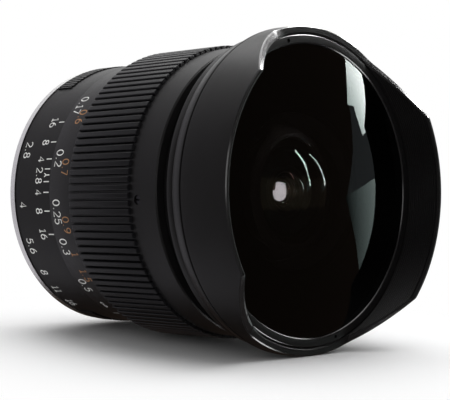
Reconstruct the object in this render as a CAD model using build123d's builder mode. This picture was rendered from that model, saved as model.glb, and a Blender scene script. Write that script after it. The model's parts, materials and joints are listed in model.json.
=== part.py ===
from build123d import *
from collections import namedtuple
from math import asin, atan2, copysign, cos, degrees, radians, sin, sqrt
import os

os.makedirs("parts", exist_ok=True)

# A manual fisheye lens that lies on its side. The optical axis is Y and the subject side looks
# along -Y. The index line faces -X, the two petals of the hood stand at -X and +X, and +Z is up.
# The origin is on the axis, in the plane where the flange meets the camera. A station is the
# distance in front of that plane, so a station s lies at y = -s. Angles run from +X towards +Z.
# Lengths are in millimetres and angles in degrees.

# Fits
seat_fit = 0.02
running_fit = 0.05
turning_gap = 0.12
loose_gap = 0.3
overrun = 1.0

# Lengths along the axis
flange_thickness = 1.9
aperture_ring_length = 5.9
scale_ring_length = 6.95
scale_band_length = 9.4
grip_length = 20.1
collar_length = 8.1
waist_length = 5.2
base_ring_length = 5.35
joint_line = 0.2
hood_length = 3.65
petal_height = 8.7

# Outer radii
flange_radius = 31.2
aperture_ring_drop = 0.2
aperture_ring_radius = flange_radius - aperture_ring_drop
aperture_grip_height = 0.35
scale_ring_drop = 0.1
scale_ring_radius = flange_radius - scale_ring_drop
scale_band_radius = flange_radius
grip_rise = 2.15
grip_radius = scale_band_radius + grip_rise
collar_drop = 0.75
collar_radius = grip_radius - collar_drop
waist_drop = 1.0
waist_radius = flange_radius - waist_drop
hood_swell = 4.55
hood_radius = flange_radius + hood_swell
petal_tip_drop = 0.65
petal_tip_radius = hood_radius - petal_tip_drop

# Turns that bring each mark to the index line, from the rest pose
stop_turns = (-11.5, 12.6, 31.0, 44.5, 54.8, 65.1)
near_turn = -32.7
far_turn = 70.0
focus_travel_per_turn = 5.4
index_angle = 180

# Stations, from the rear to the front
aperture_rear = flange_thickness + turning_gap
aperture_front = aperture_rear + aperture_ring_length
scale_rear = aperture_front + turning_gap
scale_front = scale_rear + scale_ring_length
focus_rear = scale_front + turning_gap
grip_rear = focus_rear + scale_band_length
grip_front = grip_rear + grip_length
collar_front = grip_front + collar_length
lip_rear = collar_front + waist_length
lip_front = lip_rear + base_ring_length
hood_rear = lip_front + joint_line
rim = hood_rear + hood_length
petal_tip = rim + petal_height
retract_travel = focus_travel_per_turn * far_turn / 360
extend_travel = -focus_travel_per_turn * near_turn / 360

PROFILE = Plane(origin=(0, 0, 0), x_dir=(1, 0, 0), z_dir=(0, 0, -1))


def place(radius, angle, station=0):
    """The point at a radius and an angle about the axis."""
    return (radius * cos(radians(angle)), -station, radius * sin(radians(angle)))


def profile_at(angle):
    """The half plane through the axis at an angle, with radius and station as its axes."""
    sideways = Vector(*place(1, angle))
    return Plane(origin=(0, 0, 0), x_dir=sideways, z_dir=sideways.cross(Vector(0, -1, 0)))


def outward(radius, angle, station):
    """A plane that faces away from the axis, with its x axis towards the front."""
    return Plane(origin=place(radius, angle, station), x_dir=(0, -1, 0), z_dir=place(1, angle))


def across(station):
    """A plane across the axis that faces the front."""
    return Plane.XZ.offset(station)


def turn(*outline, mode=Mode.ADD):
    """Turn an outline of (radius, station) points about the axis."""
    with BuildSketch(PROFILE) as outline_face:
        with BuildLine():
            Polyline(*outline, close=True)
        make_face()
    revolve(outline_face.sketch, axis=Axis.Y, mode=mode)


def turn_arc(inner, outer, rear, front, start, sweep, mode=Mode.ADD):
    """A stretch of a ring, from one angle on through the sweep."""
    with BuildSketch(profile_at(start + sweep)) as section:
        with BuildLine():
            Polyline((inner, rear), (outer, rear), (outer, front), (inner, front), close=True)
        make_face()
    revolve(section.sketch, axis=Axis.Y, revolution_arc=sweep, mode=mode)


def bore(inner, outer, rear, front, mode=Mode.SUBTRACT):
    """A ring-shaped cut or step."""
    turn((inner, rear), (outer, rear), (outer, front), (inner, front), mode=mode)


def radial_pin(radius, inner, outer, angle, station, mode=Mode.ADD):
    """A round pin or hole that points away from the axis."""
    with BuildSketch(outward(inner, angle, station)) as end:
        Circle(radius)
    extrude(end.sketch, amount=outer - inner, mode=mode)


def axial_pin(radius, centre_radius, angle, rear, front, mode=Mode.ADD):
    """A round pin or hole along the axis."""
    with BuildSketch(across(rear)) as end:
        with Locations((centre_radius * cos(radians(angle)), centre_radius * sin(radians(angle)))):
            Circle(radius)
    extrude(end.sketch, amount=front - rear, mode=mode)


def keep(piece, name):
    """Label a finished piece and write it."""
    piece.part.label = name
    export_step(piece.part, f"parts/{name}.step")


# Glass elements, from the front to the rear. A positive curve bulges towards the front.
glass_top = 70.3
cement = 0.02
dome_edge_depth = 3.35
dome_edge = hood_radius - dome_edge_depth
second_edge = 14.5
middle_edge = 9.5
rear_edge = 9.0

# Curves of the glass surfaces
dome_curve = 150.0
dome_hollow = 22.0
second_curve = 38.0
second_hollow = 11.5
third_curve = -60.0
first_cemented_curve = 14.0
fourth_back = -24.0
fifth_curve = 40.0
second_cemented_curve = -18.0
sixth_back = -70.0
seventh_curve = -40.0
third_cemented_curve = 13.0
eighth_back = -17.0
ninth_curve = 28.0
fourth_cemented_curve = -20.0
tenth_back = 60.0
eleventh_curve = 45.0
eleventh_back = -30.0

# Clear radii of the two hollows, as shares of their curves
dome_clear_share = 0.8
second_clear_share = 0.948

# Thicknesses on the axis, and the air behind the elements that stand free
dome_thickness = 2.2
second_thickness = 1.8
third_thickness = 1.4
fourth_thickness = 7.0
fifth_thickness = 5.0
sixth_thickness = 1.6
seventh_thickness = 1.2
eighth_thickness = 7.2
ninth_thickness = 4.8
tenth_thickness = 1.3
eleventh_thickness = 3.6
dome_air = 5.9
second_air = 10.4
middle_air = 1.9
iris_air = 10.46
rear_air = 0.78
last_air = 1.08

dome_clear = dome_clear_share * dome_hollow
second_clear = second_clear_share * second_hollow
Element = namedtuple("Element", "name front_curve thickness rear_curve edge rear_clear air_behind")
elements = (
    Element("front_element", dome_curve, dome_thickness, dome_hollow, dome_edge, dome_clear, dome_air),
    Element(
        "second_element",
        second_curve,
        second_thickness,
        second_hollow,
        second_edge,
        second_clear,
        second_air,
    ),
    Element(
        "third_element",
        third_curve,
        third_thickness,
        first_cemented_curve,
        middle_edge,
        middle_edge,
        cement,
    ),
    Element(
        "fourth_element",
        first_cemented_curve,
        fourth_thickness,
        fourth_back,
        middle_edge,
        middle_edge,
        middle_air,
    ),
    Element(
        "fifth_element",
        fifth_curve,
        fifth_thickness,
        second_cemented_curve,
        middle_edge,
        middle_edge,
        cement,
    ),
    Element(
        "sixth_element",
        second_cemented_curve,
        sixth_thickness,
        sixth_back,
        middle_edge,
        middle_edge,
        iris_air,
    ),
    Element(
        "seventh_element",
        seventh_curve,
        seventh_thickness,
        third_cemented_curve,
        rear_edge,
        rear_edge,
        cement,
    ),
    Element(
        "eighth_element",
        third_cemented_curve,
        eighth_thickness,
        eighth_back,
        rear_edge,
        rear_edge,
        rear_air,
    ),
    Element(
        "ninth_element",
        ninth_curve,
        ninth_thickness,
        fourth_cemented_curve,
        rear_edge,
        rear_edge,
        cement,
    ),
    Element(
        "tenth_element",
        fourth_cemented_curve,
        tenth_thickness,
        tenth_back,
        rear_edge,
        rear_edge,
        last_air,
    ),
    Element("eleventh_element", eleventh_curve, eleventh_thickness, eleventh_back, rear_edge, rear_edge, 0),
)
element_named = {element.name: element for element in elements}
vertex = {}
station = glass_top
for element in elements:
    vertex[element.name] = station
    station -= element.thickness + element.air_behind


def fall(curve, height):
    """How far a spherical surface lies behind its vertex at a height from the axis."""
    return curve - copysign(sqrt(curve**2 - height**2), curve)


def front_surface(name, height):
    """The station of an element's front surface."""
    return vertex[name] - fall(element_named[name].front_curve, height)


def rear_surface(name, height):
    """The station of an element's rear surface."""
    element = element_named[name]
    return vertex[name] - element.thickness - fall(element.rear_curve, height)


def seat_before(name, inner, outer):
    """The station where a flat ring comes to rest on an element's front surface."""
    return max(front_surface(name, inner), front_surface(name, outer))


def seat_behind(name, inner, outer):
    """The station where a flat ring comes to rest on an element's rear surface."""
    return min(rear_surface(name, inner), rear_surface(name, outer))


for element in elements:
    edge, clear = element.edge, element.rear_clear
    with BuildPart() as glass:
        with BuildSketch(PROFILE):
            with BuildLine():
                front_line = ThreePointArc(
                    (0, front_surface(element.name, 0)),
                    (edge / 2, front_surface(element.name, edge / 2)),
                    (edge, front_surface(element.name, edge)),
                )
                Line(front_line @ 1, (edge, rear_surface(element.name, clear)))
                if clear < edge:
                    ledge = rear_surface(element.name, clear)
                    Line((edge, ledge), (clear, ledge))
                ThreePointArc(
                    (clear, rear_surface(element.name, clear)),
                    (clear / 2, rear_surface(element.name, clear / 2)),
                    (0, rear_surface(element.name, 0)),
                )
                Line((0, rear_surface(element.name, 0)), front_line @ 0)
            make_face()
        revolve(axis=Axis.Y)
    keep(glass, element.name)

# Main barrel: the fixed tube that the flange, the rings and the key are fastened to
barrel_depth = 3.2
barrel_wall = 2.4
land_rise = 1.0
barrel_flange_lip = 3.6
barrel_radius = flange_radius - barrel_depth
barrel_bore = barrel_radius - barrel_wall
land_radius = barrel_radius + land_rise
barrel_flange_bore = barrel_bore - barrel_flange_lip
barrel_flange_length = 3.0
land_length = 8.6
retainer_length = 1.8
barrel_flange_front = flange_thickness + barrel_flange_length
land_front = scale_front + land_length
barrel_front = land_front + retainer_length

# Mount flange and its screws
bayonet_wall = 2.0
bayonet_depth = 9.6
bayonet_radius = flange_radius - bayonet_depth
mount_bore = bayonet_radius - bayonet_wall
bayonet_length = 5.5
lug_rise = 1.4
lug_radius = bayonet_radius + lug_rise
lug_thickness = 1.4
lug_count = 4
lug_sweep = 42
flange_edge_chamfer = 0.35
mount_screw_count = 4
mount_screw_depth = 2.7
mount_screw_circle = barrel_radius - mount_screw_depth
mount_screw_radius = 0.8
mount_screw_head_radius = 1.7
mount_screw_head_height = 1.0
mount_screw_length = 4.2
mount_screw_turn = 45
screw_slot_width = 0.4
screw_slot_depth = 0.4
lock_hole_radius = 1.3
lock_hole_depth = 1.2
lock_hole_inset = 3.6
lock_hole_circle = flange_radius - lock_hole_inset
lock_hole_angle = 200

with BuildPart() as mount_flange:
    turn(
        (mount_bore, -bayonet_length),
        (bayonet_radius, -bayonet_length),
        (bayonet_radius, 0),
        (flange_radius - flange_edge_chamfer, 0),
        (flange_radius, flange_edge_chamfer),
        (flange_radius, flange_thickness),
        (mount_bore, flange_thickness),
    )
    for lug in range(lug_count):
        turn_arc(
            mount_bore,
            lug_radius,
            -bayonet_length,
            lug_thickness - bayonet_length,
            lug * 360 / lug_count,
            lug_sweep,
        )
    with Locations(across(0)):
        with PolarLocations(mount_screw_circle, mount_screw_count, start_angle=mount_screw_turn):
            Cylinder(
                mount_screw_radius + running_fit,
                flange_thickness,
                align=(Align.CENTER, Align.CENTER, Align.MIN),
                mode=Mode.SUBTRACT,
            )
            Cone(
                mount_screw_head_radius + running_fit,
                mount_screw_radius + running_fit,
                mount_screw_head_height,
                align=(Align.CENTER, Align.CENTER, Align.MIN),
                mode=Mode.SUBTRACT,
            )
    axial_pin(lock_hole_radius, lock_hole_circle, lock_hole_angle, 0, lock_hole_depth, mode=Mode.SUBTRACT)
keep(mount_flange, "mount_flange")

with BuildPart() as mount_screws:
    with Locations(across(0)):
        with PolarLocations(mount_screw_circle, mount_screw_count, start_angle=mount_screw_turn):
            Cone(
                mount_screw_head_radius,
                mount_screw_radius,
                mount_screw_head_height,
                align=(Align.CENTER, Align.CENTER, Align.MIN),
            )
            Cylinder(mount_screw_radius, mount_screw_length, align=(Align.CENTER, Align.CENTER, Align.MIN))
            Box(
                mount_screw_head_radius * 2,
                screw_slot_width,
                screw_slot_depth,
                align=(Align.CENTER, Align.CENTER, Align.MIN),
                mode=Mode.SUBTRACT,
            )
keep(mount_screws, "mount_screws")

# Rear light baffle, pressed into the bayonet's bore
baffle_opening = 13.5
baffle_thickness = 1.0
baffle_depth = 3.2

with BuildPart() as rear_light_baffle:
    bore(
        baffle_opening,
        mount_bore - seat_fit,
        -baffle_depth,
        baffle_thickness - baffle_depth,
        mode=Mode.ADD,
    )
keep(rear_light_baffle, "rear_light_baffle")

# Iris stations
cell_bore = 12.4
iris_rear = 24.6
iris_plate = 0.8
iris_opening = 6.0
iris_cup_wall = 0.5
blade_thickness = 0.1
blade_pitch = 0.15
blade_count = 7
cam_thickness = 1.6
cover_thickness = 0.4
lever_radius = 0.55
lever_depth = 1.6
blades_rear = iris_rear + iris_plate + turning_gap
cam_rear = blades_rear + blade_count * blade_pitch + turning_gap
cam_front = cam_rear + cam_thickness
cover_rear = cam_front + turning_gap
cover_front = cover_rear + cover_thickness
iris_front = cover_front + turning_gap
lever_station = cam_rear + cam_thickness / 2
cup_bore = cell_bore - seat_fit - iris_cup_wall

# Aperture drive: a pin through the barrel's slot joins the ring to the link inside
aperture_arm_angle = -60
drive_pin_radius = 0.8
drive_pin_shoulder = 0.4
drive_pin_station = aperture_front - drive_pin_shoulder - drive_pin_radius - turning_gap
drive_pin_depth = 2.1
slot_play = 0.15
slot_end_play = 0.6
link_thickness = 2.1
link_length = 2.0
link_inner = barrel_bore - 2 * running_fit - link_thickness
link_rear = drive_pin_station - link_length / 2
fork_inner = 18.5
fork_outer = 20.6
fork_sweep = 12
fork_tip = 1.2
fork_slot_length = 7.0
fork_front = lever_station + extend_travel + lever_radius + fork_tip
aperture_turn_up = -stop_turns[0]
aperture_turn_down = stop_turns[-1]


def aperture_slot(inner, outer, middle_station, half_width):
    """A slot that leaves room for a pin over the aperture ring's whole turn."""
    play = slot_end_play + degrees(half_width / inner)
    turn_arc(
        inner,
        outer,
        middle_station - half_width,
        middle_station + half_width,
        aperture_arm_angle - aperture_turn_down - play,
        aperture_turn_down + aperture_turn_up + 2 * play,
        mode=Mode.SUBTRACT,
    )


# Click stop: a sprung ball in the barrel that falls into the aperture ring's notches
click_angle = 135
click_ball_radius = 0.75
click_station = aperture_rear + 2 * click_ball_radius
click_pocket_depth = 2.1
click_spring_wire = 0.12
click_spring_turns = 4
click_notch_depth = 0.3
click_pocket_radius = click_ball_radius + running_fit
click_pocket_floor = barrel_radius - click_pocket_depth

# Straight key and its screws: they keep the optics from turning
key_angle = 90
key_sweep = 11
key_play = 0.3
key_thickness = 2.3
key_rear = 16.0
key_outer = barrel_bore - seat_fit
key_inner = key_outer - key_thickness
key_screw_radius = 0.7
key_screw_head_radius = 1.2
key_screw_head_height = 0.7
key_screw_sink = 0.1
key_screw_margin = 2.0
key_screw_spacing = 4.0
first_key_screw = key_rear + key_screw_margin
key_screw_stations = (first_key_screw, first_key_screw + key_screw_spacing)
key_front_reach = 5.0
web_thickness = 4.2
web_rear = fork_front + retract_travel + loose_gap
key_front = web_rear + key_front_reach

# Focus stop pin, fixed in the barrel, in a slot of the focus ring
stop_pin_angle = 0
stop_pin_radius = 0.8
stop_pin_station = scale_front + land_length / 2
stop_slot_depth = 0.9

with BuildPart() as main_barrel:
    turn(
        (barrel_flange_bore, flange_thickness),
        (barrel_radius, flange_thickness),
        (barrel_radius, scale_front),
        (land_radius, scale_front),
        (land_radius, land_front),
        (barrel_radius, land_front),
        (barrel_radius, barrel_front),
        (barrel_bore, barrel_front),
        (barrel_bore, barrel_flange_front),
        (barrel_flange_bore, barrel_flange_front),
    )
    with Locations(across(flange_thickness)):
        with PolarLocations(mount_screw_circle, mount_screw_count, start_angle=mount_screw_turn):
            Cylinder(
                mount_screw_radius,
                barrel_flange_length,
                align=(Align.CENTER, Align.CENTER, Align.MIN),
                mode=Mode.SUBTRACT,
            )
    aperture_slot(
        barrel_bore - overrun, barrel_radius + overrun, drive_pin_station, drive_pin_radius + slot_play
    )
    radial_pin(
        click_pocket_radius,
        click_pocket_floor,
        barrel_radius + overrun,
        click_angle,
        click_station,
        mode=Mode.SUBTRACT,
    )
    radial_pin(
        stop_pin_radius,
        barrel_bore - overrun,
        land_radius + overrun,
        stop_pin_angle,
        stop_pin_station,
        mode=Mode.SUBTRACT,
    )
    for screw_station in key_screw_stations:
        radial_pin(
            key_screw_radius,
            barrel_bore - overrun,
            land_radius + overrun,
            key_angle,
            screw_station,
            mode=Mode.SUBTRACT,
        )
        radial_pin(
            key_screw_head_radius + seat_fit,
            land_radius - key_screw_sink - key_screw_head_height,
            land_radius + overrun,
            key_angle,
            screw_station,
            mode=Mode.SUBTRACT,
        )
keep(main_barrel, "main_barrel")

with BuildPart() as straight_key:
    turn_arc(key_inner, key_outer, key_rear, key_front, key_angle - key_sweep / 2, key_sweep)
    for screw_station in key_screw_stations:
        radial_pin(
            key_screw_radius,
            key_inner - overrun,
            key_outer + overrun,
            key_angle,
            screw_station,
            mode=Mode.SUBTRACT,
        )
keep(straight_key, "straight_key")

with BuildPart() as key_screws:
    for screw_station in key_screw_stations:
        radial_pin(
            key_screw_head_radius,
            land_radius - key_screw_sink - key_screw_head_height,
            land_radius - key_screw_sink,
            key_angle,
            screw_station,
        )
        radial_pin(
            key_screw_radius,
            key_inner,
            land_radius - key_screw_sink,
            key_angle,
            screw_station,
        )
keep(key_screws, "key_screws")

with BuildPart() as focus_stop_pin:
    radial_pin(
        stop_pin_radius - seat_fit,
        barrel_bore + seat_fit,
        land_radius + stop_slot_depth - turning_gap,
        stop_pin_angle,
        stop_pin_station,
    )
keep(focus_stop_pin, "focus_stop_pin")

with BuildPart() as click_ball:
    with Locations(Location(place(barrel_radius - click_ball_radius, click_angle, click_station))):
        Sphere(click_ball_radius)
keep(click_ball, "click_ball")

with BuildPart() as click_spring:
    spring_top = barrel_radius - 2 * click_ball_radius
    spring_radius = click_pocket_radius - click_spring_wire - running_fit
    spring_height = spring_top - click_pocket_floor - 2 * click_spring_wire
    spring_plane = outward(click_pocket_floor + click_spring_wire, click_angle, click_station)
    with BuildLine(spring_plane):
        coil = Helix(spring_height / click_spring_turns, spring_height, spring_radius)
    with BuildSketch(Plane(origin=coil @ 0, z_dir=coil % 0)):
        Circle(click_spring_wire)
    sweep(is_frenet=True)
keep(click_spring, "click_spring")

# Aperture ring, with two raised and finely ribbed grips
grip_sweep = 60
upper_grip_angle = 46
lower_grip_angle = 74
grip_starts = (index_angle - upper_grip_angle - grip_sweep, index_angle + lower_grip_angle)
knurl_pitch = 2
knurl_width = 0.45
knurl_depth = 0.3
grip_inset = 0.4

with BuildPart() as aperture_ring:
    turn(
        (barrel_radius + running_fit, aperture_rear),
        (aperture_ring_radius, aperture_rear),
        (aperture_ring_radius, aperture_front),
        (barrel_radius + running_fit, aperture_front),
    )
    for start in grip_starts:
        turn_arc(
            barrel_radius + running_fit,
            aperture_ring_radius + aperture_grip_height,
            aperture_rear + grip_inset,
            aperture_front - grip_inset,
            start,
            grip_sweep,
        )
    with BuildSketch(across(aperture_rear + grip_inset)) as knurls:
        for start in grip_starts:
            with PolarLocations(
                aperture_ring_radius + aperture_grip_height,
                int(grip_sweep / knurl_pitch),
                start_angle=start + knurl_pitch / 2,
                angular_range=grip_sweep,
            ):
                Rectangle(2 * knurl_depth, knurl_width)
    extrude(knurls.sketch, amount=aperture_ring_length - 2 * grip_inset, mode=Mode.SUBTRACT)
    radial_pin(
        drive_pin_radius,
        barrel_radius,
        barrel_radius + drive_pin_depth,
        aperture_arm_angle,
        drive_pin_station,
        mode=Mode.SUBTRACT,
    )
    for stop_turn in stop_turns:
        radial_pin(
            click_ball_radius,
            barrel_radius,
            barrel_radius + running_fit + click_notch_depth,
            click_angle + stop_turn,
            click_station,
            mode=Mode.SUBTRACT,
        )
keep(aperture_ring, "aperture_ring")

with BuildPart() as aperture_drive_pin:
    radial_pin(
        drive_pin_radius - seat_fit,
        link_inner,
        barrel_radius + drive_pin_depth - turning_gap,
        aperture_arm_angle,
        drive_pin_station,
    )
keep(aperture_drive_pin, "aperture_drive_pin")

# Scale ring, fixed between the aperture ring and the focus ring
with BuildPart() as scale_ring:
    bore(barrel_radius + seat_fit, scale_ring_radius, scale_rear, scale_front, mode=Mode.ADD)
keep(scale_ring, "scale_ring")

# Focus retaining ring, screwed on the barrel's front end
scale_band_wall = 0.7
focus_bore = scale_band_radius - scale_band_wall
with BuildPart() as focus_retaining_ring:
    bore(barrel_radius + seat_fit, focus_bore - loose_gap, land_front, barrel_front, mode=Mode.ADD)
keep(focus_retaining_ring, "focus_retaining_ring")

# Focus ring: a smooth scale band and a ribbed grip
rib_count = 120
rib_groove_width = 0.82
rib_groove_floor = 0.3
rib_groove_depth = 0.85
rib_wall_angle = degrees(atan2(2 * rib_groove_depth, rib_groove_width - rib_groove_floor))
rib_groove_top = 2 * rib_groove_width - rib_groove_floor
grip_bevel = 0.4

with BuildPart() as focus_ring:
    turn(
        (land_radius + running_fit, focus_rear),
        (scale_band_radius, focus_rear),
        (scale_band_radius, grip_rear),
        (grip_radius, grip_rear + grip_bevel),
        (grip_radius, grip_front),
        (focus_bore, grip_front),
        (focus_bore, land_front - turning_gap),
        (land_radius + running_fit, land_front - turning_gap),
    )
    with BuildSketch(across(grip_rear)) as grooves:
        with PolarLocations(grip_radius, rib_count):
            Trapezoid(rib_groove_top, 2 * rib_groove_depth, rib_wall_angle, rotation=90)
    extrude(grooves.sketch, amount=grip_length, mode=Mode.SUBTRACT)
    stop_play = slot_end_play + degrees((stop_pin_radius + slot_play) / land_radius)
    turn_arc(
        land_radius,
        land_radius + stop_slot_depth,
        stop_pin_station - stop_pin_radius - slot_play,
        stop_pin_station + stop_pin_radius + slot_play,
        stop_pin_angle + near_turn - stop_play,
        far_turn - near_turn + 2 * stop_play,
        mode=Mode.SUBTRACT,
    )
keep(focus_ring, "focus_ring")

# Helicoid ring: the brass ring inside the grip that drives the optics barrel
thread_depth = 1.0
thread_radius = barrel_radius - thread_depth
helicoid_gap = 1.2
helicoid_reach = 4.0
helicoid_rear = barrel_front + helicoid_gap
helicoid_front = grip_front + helicoid_reach
collar_edge_chamfer = 0.3
set_screw_count = 3
set_screw_radius = 1.0
set_screw_turn = 10.7
set_screw_setback = 2.2
set_screw_station = grip_front + set_screw_setback
set_screw_length = 3.0
set_screw_sink = 0.3

with BuildPart() as helicoid_ring:
    bore(
        thread_radius + running_fit,
        focus_bore - seat_fit,
        helicoid_rear,
        helicoid_front,
        mode=Mode.ADD,
    )
    for screw in range(set_screw_count):
        radial_pin(
            set_screw_radius,
            collar_radius - set_screw_sink - set_screw_length,
            collar_radius,
            index_angle + set_screw_turn + screw * 360 / set_screw_count,
            set_screw_station,
            mode=Mode.SUBTRACT,
        )
keep(helicoid_ring, "helicoid_ring")

with BuildPart() as focus_collar:
    turn(
        (focus_bore, grip_front),
        (collar_radius, grip_front),
        (collar_radius, collar_front - collar_edge_chamfer),
        (collar_radius - collar_edge_chamfer, collar_front),
        (focus_bore, collar_front),
    )
    for screw in range(set_screw_count):
        radial_pin(
            set_screw_radius,
            focus_bore - overrun,
            collar_radius + overrun,
            index_angle + set_screw_turn + screw * 360 / set_screw_count,
            set_screw_station,
            mode=Mode.SUBTRACT,
        )
keep(focus_collar, "focus_collar")

with BuildPart() as collar_set_screws:
    for screw in range(set_screw_count):
        angle = index_angle + set_screw_turn + screw * 360 / set_screw_count
        screw_top = collar_radius - set_screw_sink
        radial_pin(
            set_screw_radius - seat_fit, screw_top - set_screw_length, screw_top, angle, set_screw_station
        )
        with BuildSketch(outward(screw_top, angle, set_screw_station)) as slot:
            Rectangle(2 * set_screw_radius, screw_slot_width)
        extrude(slot.sketch, amount=-screw_slot_depth, mode=Mode.SUBTRACT)
keep(collar_set_screws, "collar_set_screws")

# Optics barrel: the sliding tube that carries the glass
rear_tube_radius = 14.0
tube_wall = 2.4
optics_rear = 2.4
web_front = web_rear + web_thickness
optics_setback = 0.7
optics_front = collar_front - optics_setback
shell_bore = thread_radius - tube_wall

with BuildPart() as optics_barrel:
    turn(
        (cell_bore, optics_rear),
        (rear_tube_radius, optics_rear),
        (rear_tube_radius, web_rear),
        (thread_radius, web_rear),
        (thread_radius, optics_front),
        (shell_bore, optics_front),
        (shell_bore, web_front),
        (cell_bore, web_front),
    )
    turn_arc(
        key_inner - loose_gap,
        thread_radius + overrun,
        web_rear - overrun,
        key_front + retract_travel + loose_gap,
        key_angle - key_sweep / 2 - key_play,
        key_sweep + 2 * key_play,
        mode=Mode.SUBTRACT,
    )
    aperture_slot(
        cell_bore - overrun, rear_tube_radius + overrun, lever_station, lever_radius + slot_play
    )
keep(optics_barrel, "optics_barrel")

# Aperture link: a ring inside the barrel with a fork that turns the iris
with BuildPart() as aperture_link:
    bore(link_inner, barrel_bore - 2 * running_fit, link_rear, link_rear + link_length, mode=Mode.ADD)
    turn_arc(
        fork_inner,
        link_inner + running_fit,
        link_rear,
        link_rear + link_length,
        aperture_arm_angle - fork_sweep / 2,
        fork_sweep,
    )
    turn_arc(
        fork_inner, fork_outer, link_rear, fork_front, aperture_arm_angle - fork_sweep / 2, fork_sweep
    )
    with BuildSketch(outward(fork_inner - overrun, aperture_arm_angle, fork_front)) as fork_slot:
        with Locations((-fork_slot_length / 2, 0)):
            Rectangle(fork_slot_length + overrun, 2 * (lever_radius + running_fit))
    extrude(fork_slot.sketch, amount=fork_outer - fork_inner + 2 * overrun, mode=Mode.SUBTRACT)
    radial_pin(
        drive_pin_radius,
        link_inner - overrun,
        barrel_bore,
        aperture_arm_angle,
        drive_pin_station,
        mode=Mode.SUBTRACT,
    )
keep(aperture_link, "aperture_link")

# Iris: base, seven blades, cam ring, lever pin and cover
pivot_circle = 10.5
pivot_radius = 0.4
cam_pin_circle = 10.6
cam_pin_radius = 0.35
cam_pin_angle = -34
blade_inner = 5.6
blade_outer = 9.0
blade_span = 112
blade_start = -8
pad_radius = 1.1
cam_pad_radius = 0.85
arm_inner = 8.4
arm_outer = 11.2
pivot_hole_play = 0.05
closed_opening = 0.98
blade_close_turn = 2 * degrees(asin((blade_inner - closed_opening) / (2 * pivot_circle)))
blade_share = blade_close_turn / (aperture_turn_down + aperture_turn_up)
blade_rest_turn = blade_share * aperture_turn_up

with BuildPart() as iris_base:
    bore(iris_opening, cell_bore - seat_fit, iris_rear, iris_rear + iris_plate, mode=Mode.ADD)
    bore(cup_bore, cell_bore - seat_fit, iris_rear, iris_front, mode=Mode.ADD)
    for blade in range(blade_count):
        axial_pin(
            pivot_radius + pivot_hole_play,
            pivot_circle,
            blade * 360 / blade_count,
            iris_rear - overrun,
            iris_rear + iris_plate + overrun,
            mode=Mode.SUBTRACT,
        )
    aperture_slot(cup_bore - overrun, cell_bore + overrun, lever_station, lever_radius + slot_play)
keep(iris_base, "iris_base")


def flat(radius, angle):
    """A point of a flat shape, as it is seen from the front."""
    return Vector(radius * cos(radians(angle)), radius * sin(radians(angle)))


def turned_about(point, centre, angle):
    """A flat point after a turn that takes +Z towards +X."""
    arm = point - centre
    return centre + Vector(
        arm.X * cos(radians(angle)) + arm.Y * sin(radians(angle)),
        arm.Y * cos(radians(angle)) - arm.X * sin(radians(angle)),
    )


def sector(inner, outer, start, sweep):
    """A flat stretch of a ring."""
    with BuildSketch() as shape:
        with BuildLine():
            inside = CenterArc((0, 0), inner, start, sweep)
            outside = CenterArc((0, 0), outer, start, sweep)
            Line(inside @ 0, outside @ 0)
            Line(inside @ 1, outside @ 1)
        make_face()
    return shape.sketch


for blade in range(blade_count):
    blade_angle = blade * 360 / blade_count
    level = blades_rear + blade * blade_pitch
    pivot = flat(pivot_circle, 0)
    with BuildSketch() as blade_shape:
        add(sector(blade_inner, blade_outer, blade_start - blade_span, blade_span))
        add(sector(arm_inner, arm_outer, cam_pin_angle, -cam_pin_angle))
        with Locations(pivot):
            Circle(pad_radius)
        with Locations(flat(cam_pin_circle, cam_pin_angle)):
            Circle(cam_pad_radius)
    closing = Pos(*pivot) * Rot(0, 0, -blade_rest_turn) * Pos(*-pivot)
    with BuildPart() as iris_blade:
        with BuildSketch(across(level)) as posed_shape:
            add(Rot(0, 0, blade_angle) * closing * blade_shape.sketch)
        extrude(amount=blade_thickness)
        axial_pin(
            pivot_radius, pivot_circle, blade_angle, iris_rear + turning_gap, level + blade_thickness / 2
        )
        pin_place = turned_about(flat(cam_pin_circle, cam_pin_angle), pivot, blade_rest_turn)
        pin_angle = blade_angle + degrees(asin(pin_place.Y / pin_place.length))
        axial_pin(
            cam_pin_radius, pin_place.length, pin_angle, level + blade_thickness / 2, cam_front - turning_gap
        )
    keep(iris_blade, f"iris_blade_{blade + 1}")

# Iris cam ring: its curved slots are the path of each blade's pin
cam_inner = 6.4
cam_slot_play = 0.12
cam_slot_steps = 12
path = []
for step in range(cam_slot_steps + 1):
    turned = -aperture_turn_up + step * (aperture_turn_up + aperture_turn_down) / cam_slot_steps
    pin_place = turned_about(
        flat(cam_pin_circle, cam_pin_angle), flat(pivot_circle, 0), blade_rest_turn + blade_share * turned
    )
    path.append(turned_about(pin_place, Vector(0, 0), -turned))

with BuildSketch() as cam_slot:
    for point in path:
        with Locations(point):
            Circle(cam_pin_radius + cam_slot_play)
    for start, end in zip(path, path[1:]):
        run = end - start
        with Locations(Location((start + end) / 2, (0, 0, degrees(atan2(run.Y, run.X))))):
            Rectangle(run.length, 2 * (cam_pin_radius + cam_slot_play))

with BuildPart() as iris_cam_ring:
    bore(cam_inner, cup_bore - running_fit, cam_rear, cam_front, mode=Mode.ADD)
    with BuildSketch(across(cam_rear)) as cam_slots:
        with PolarLocations(0, blade_count):
            add(cam_slot.sketch)
    extrude(cam_slots.sketch, amount=cam_thickness, mode=Mode.SUBTRACT)
    radial_pin(
        lever_radius,
        cup_bore - lever_depth,
        cup_bore,
        aperture_arm_angle,
        lever_station,
        mode=Mode.SUBTRACT,
    )
keep(iris_cam_ring, "iris_cam_ring")

with BuildPart() as iris_lever_pin:
    radial_pin(
        lever_radius - seat_fit,
        cup_bore - lever_depth + turning_gap,
        fork_outer + turning_gap,
        aperture_arm_angle,
        lever_station,
    )
keep(iris_lever_pin, "iris_lever_pin")

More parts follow.
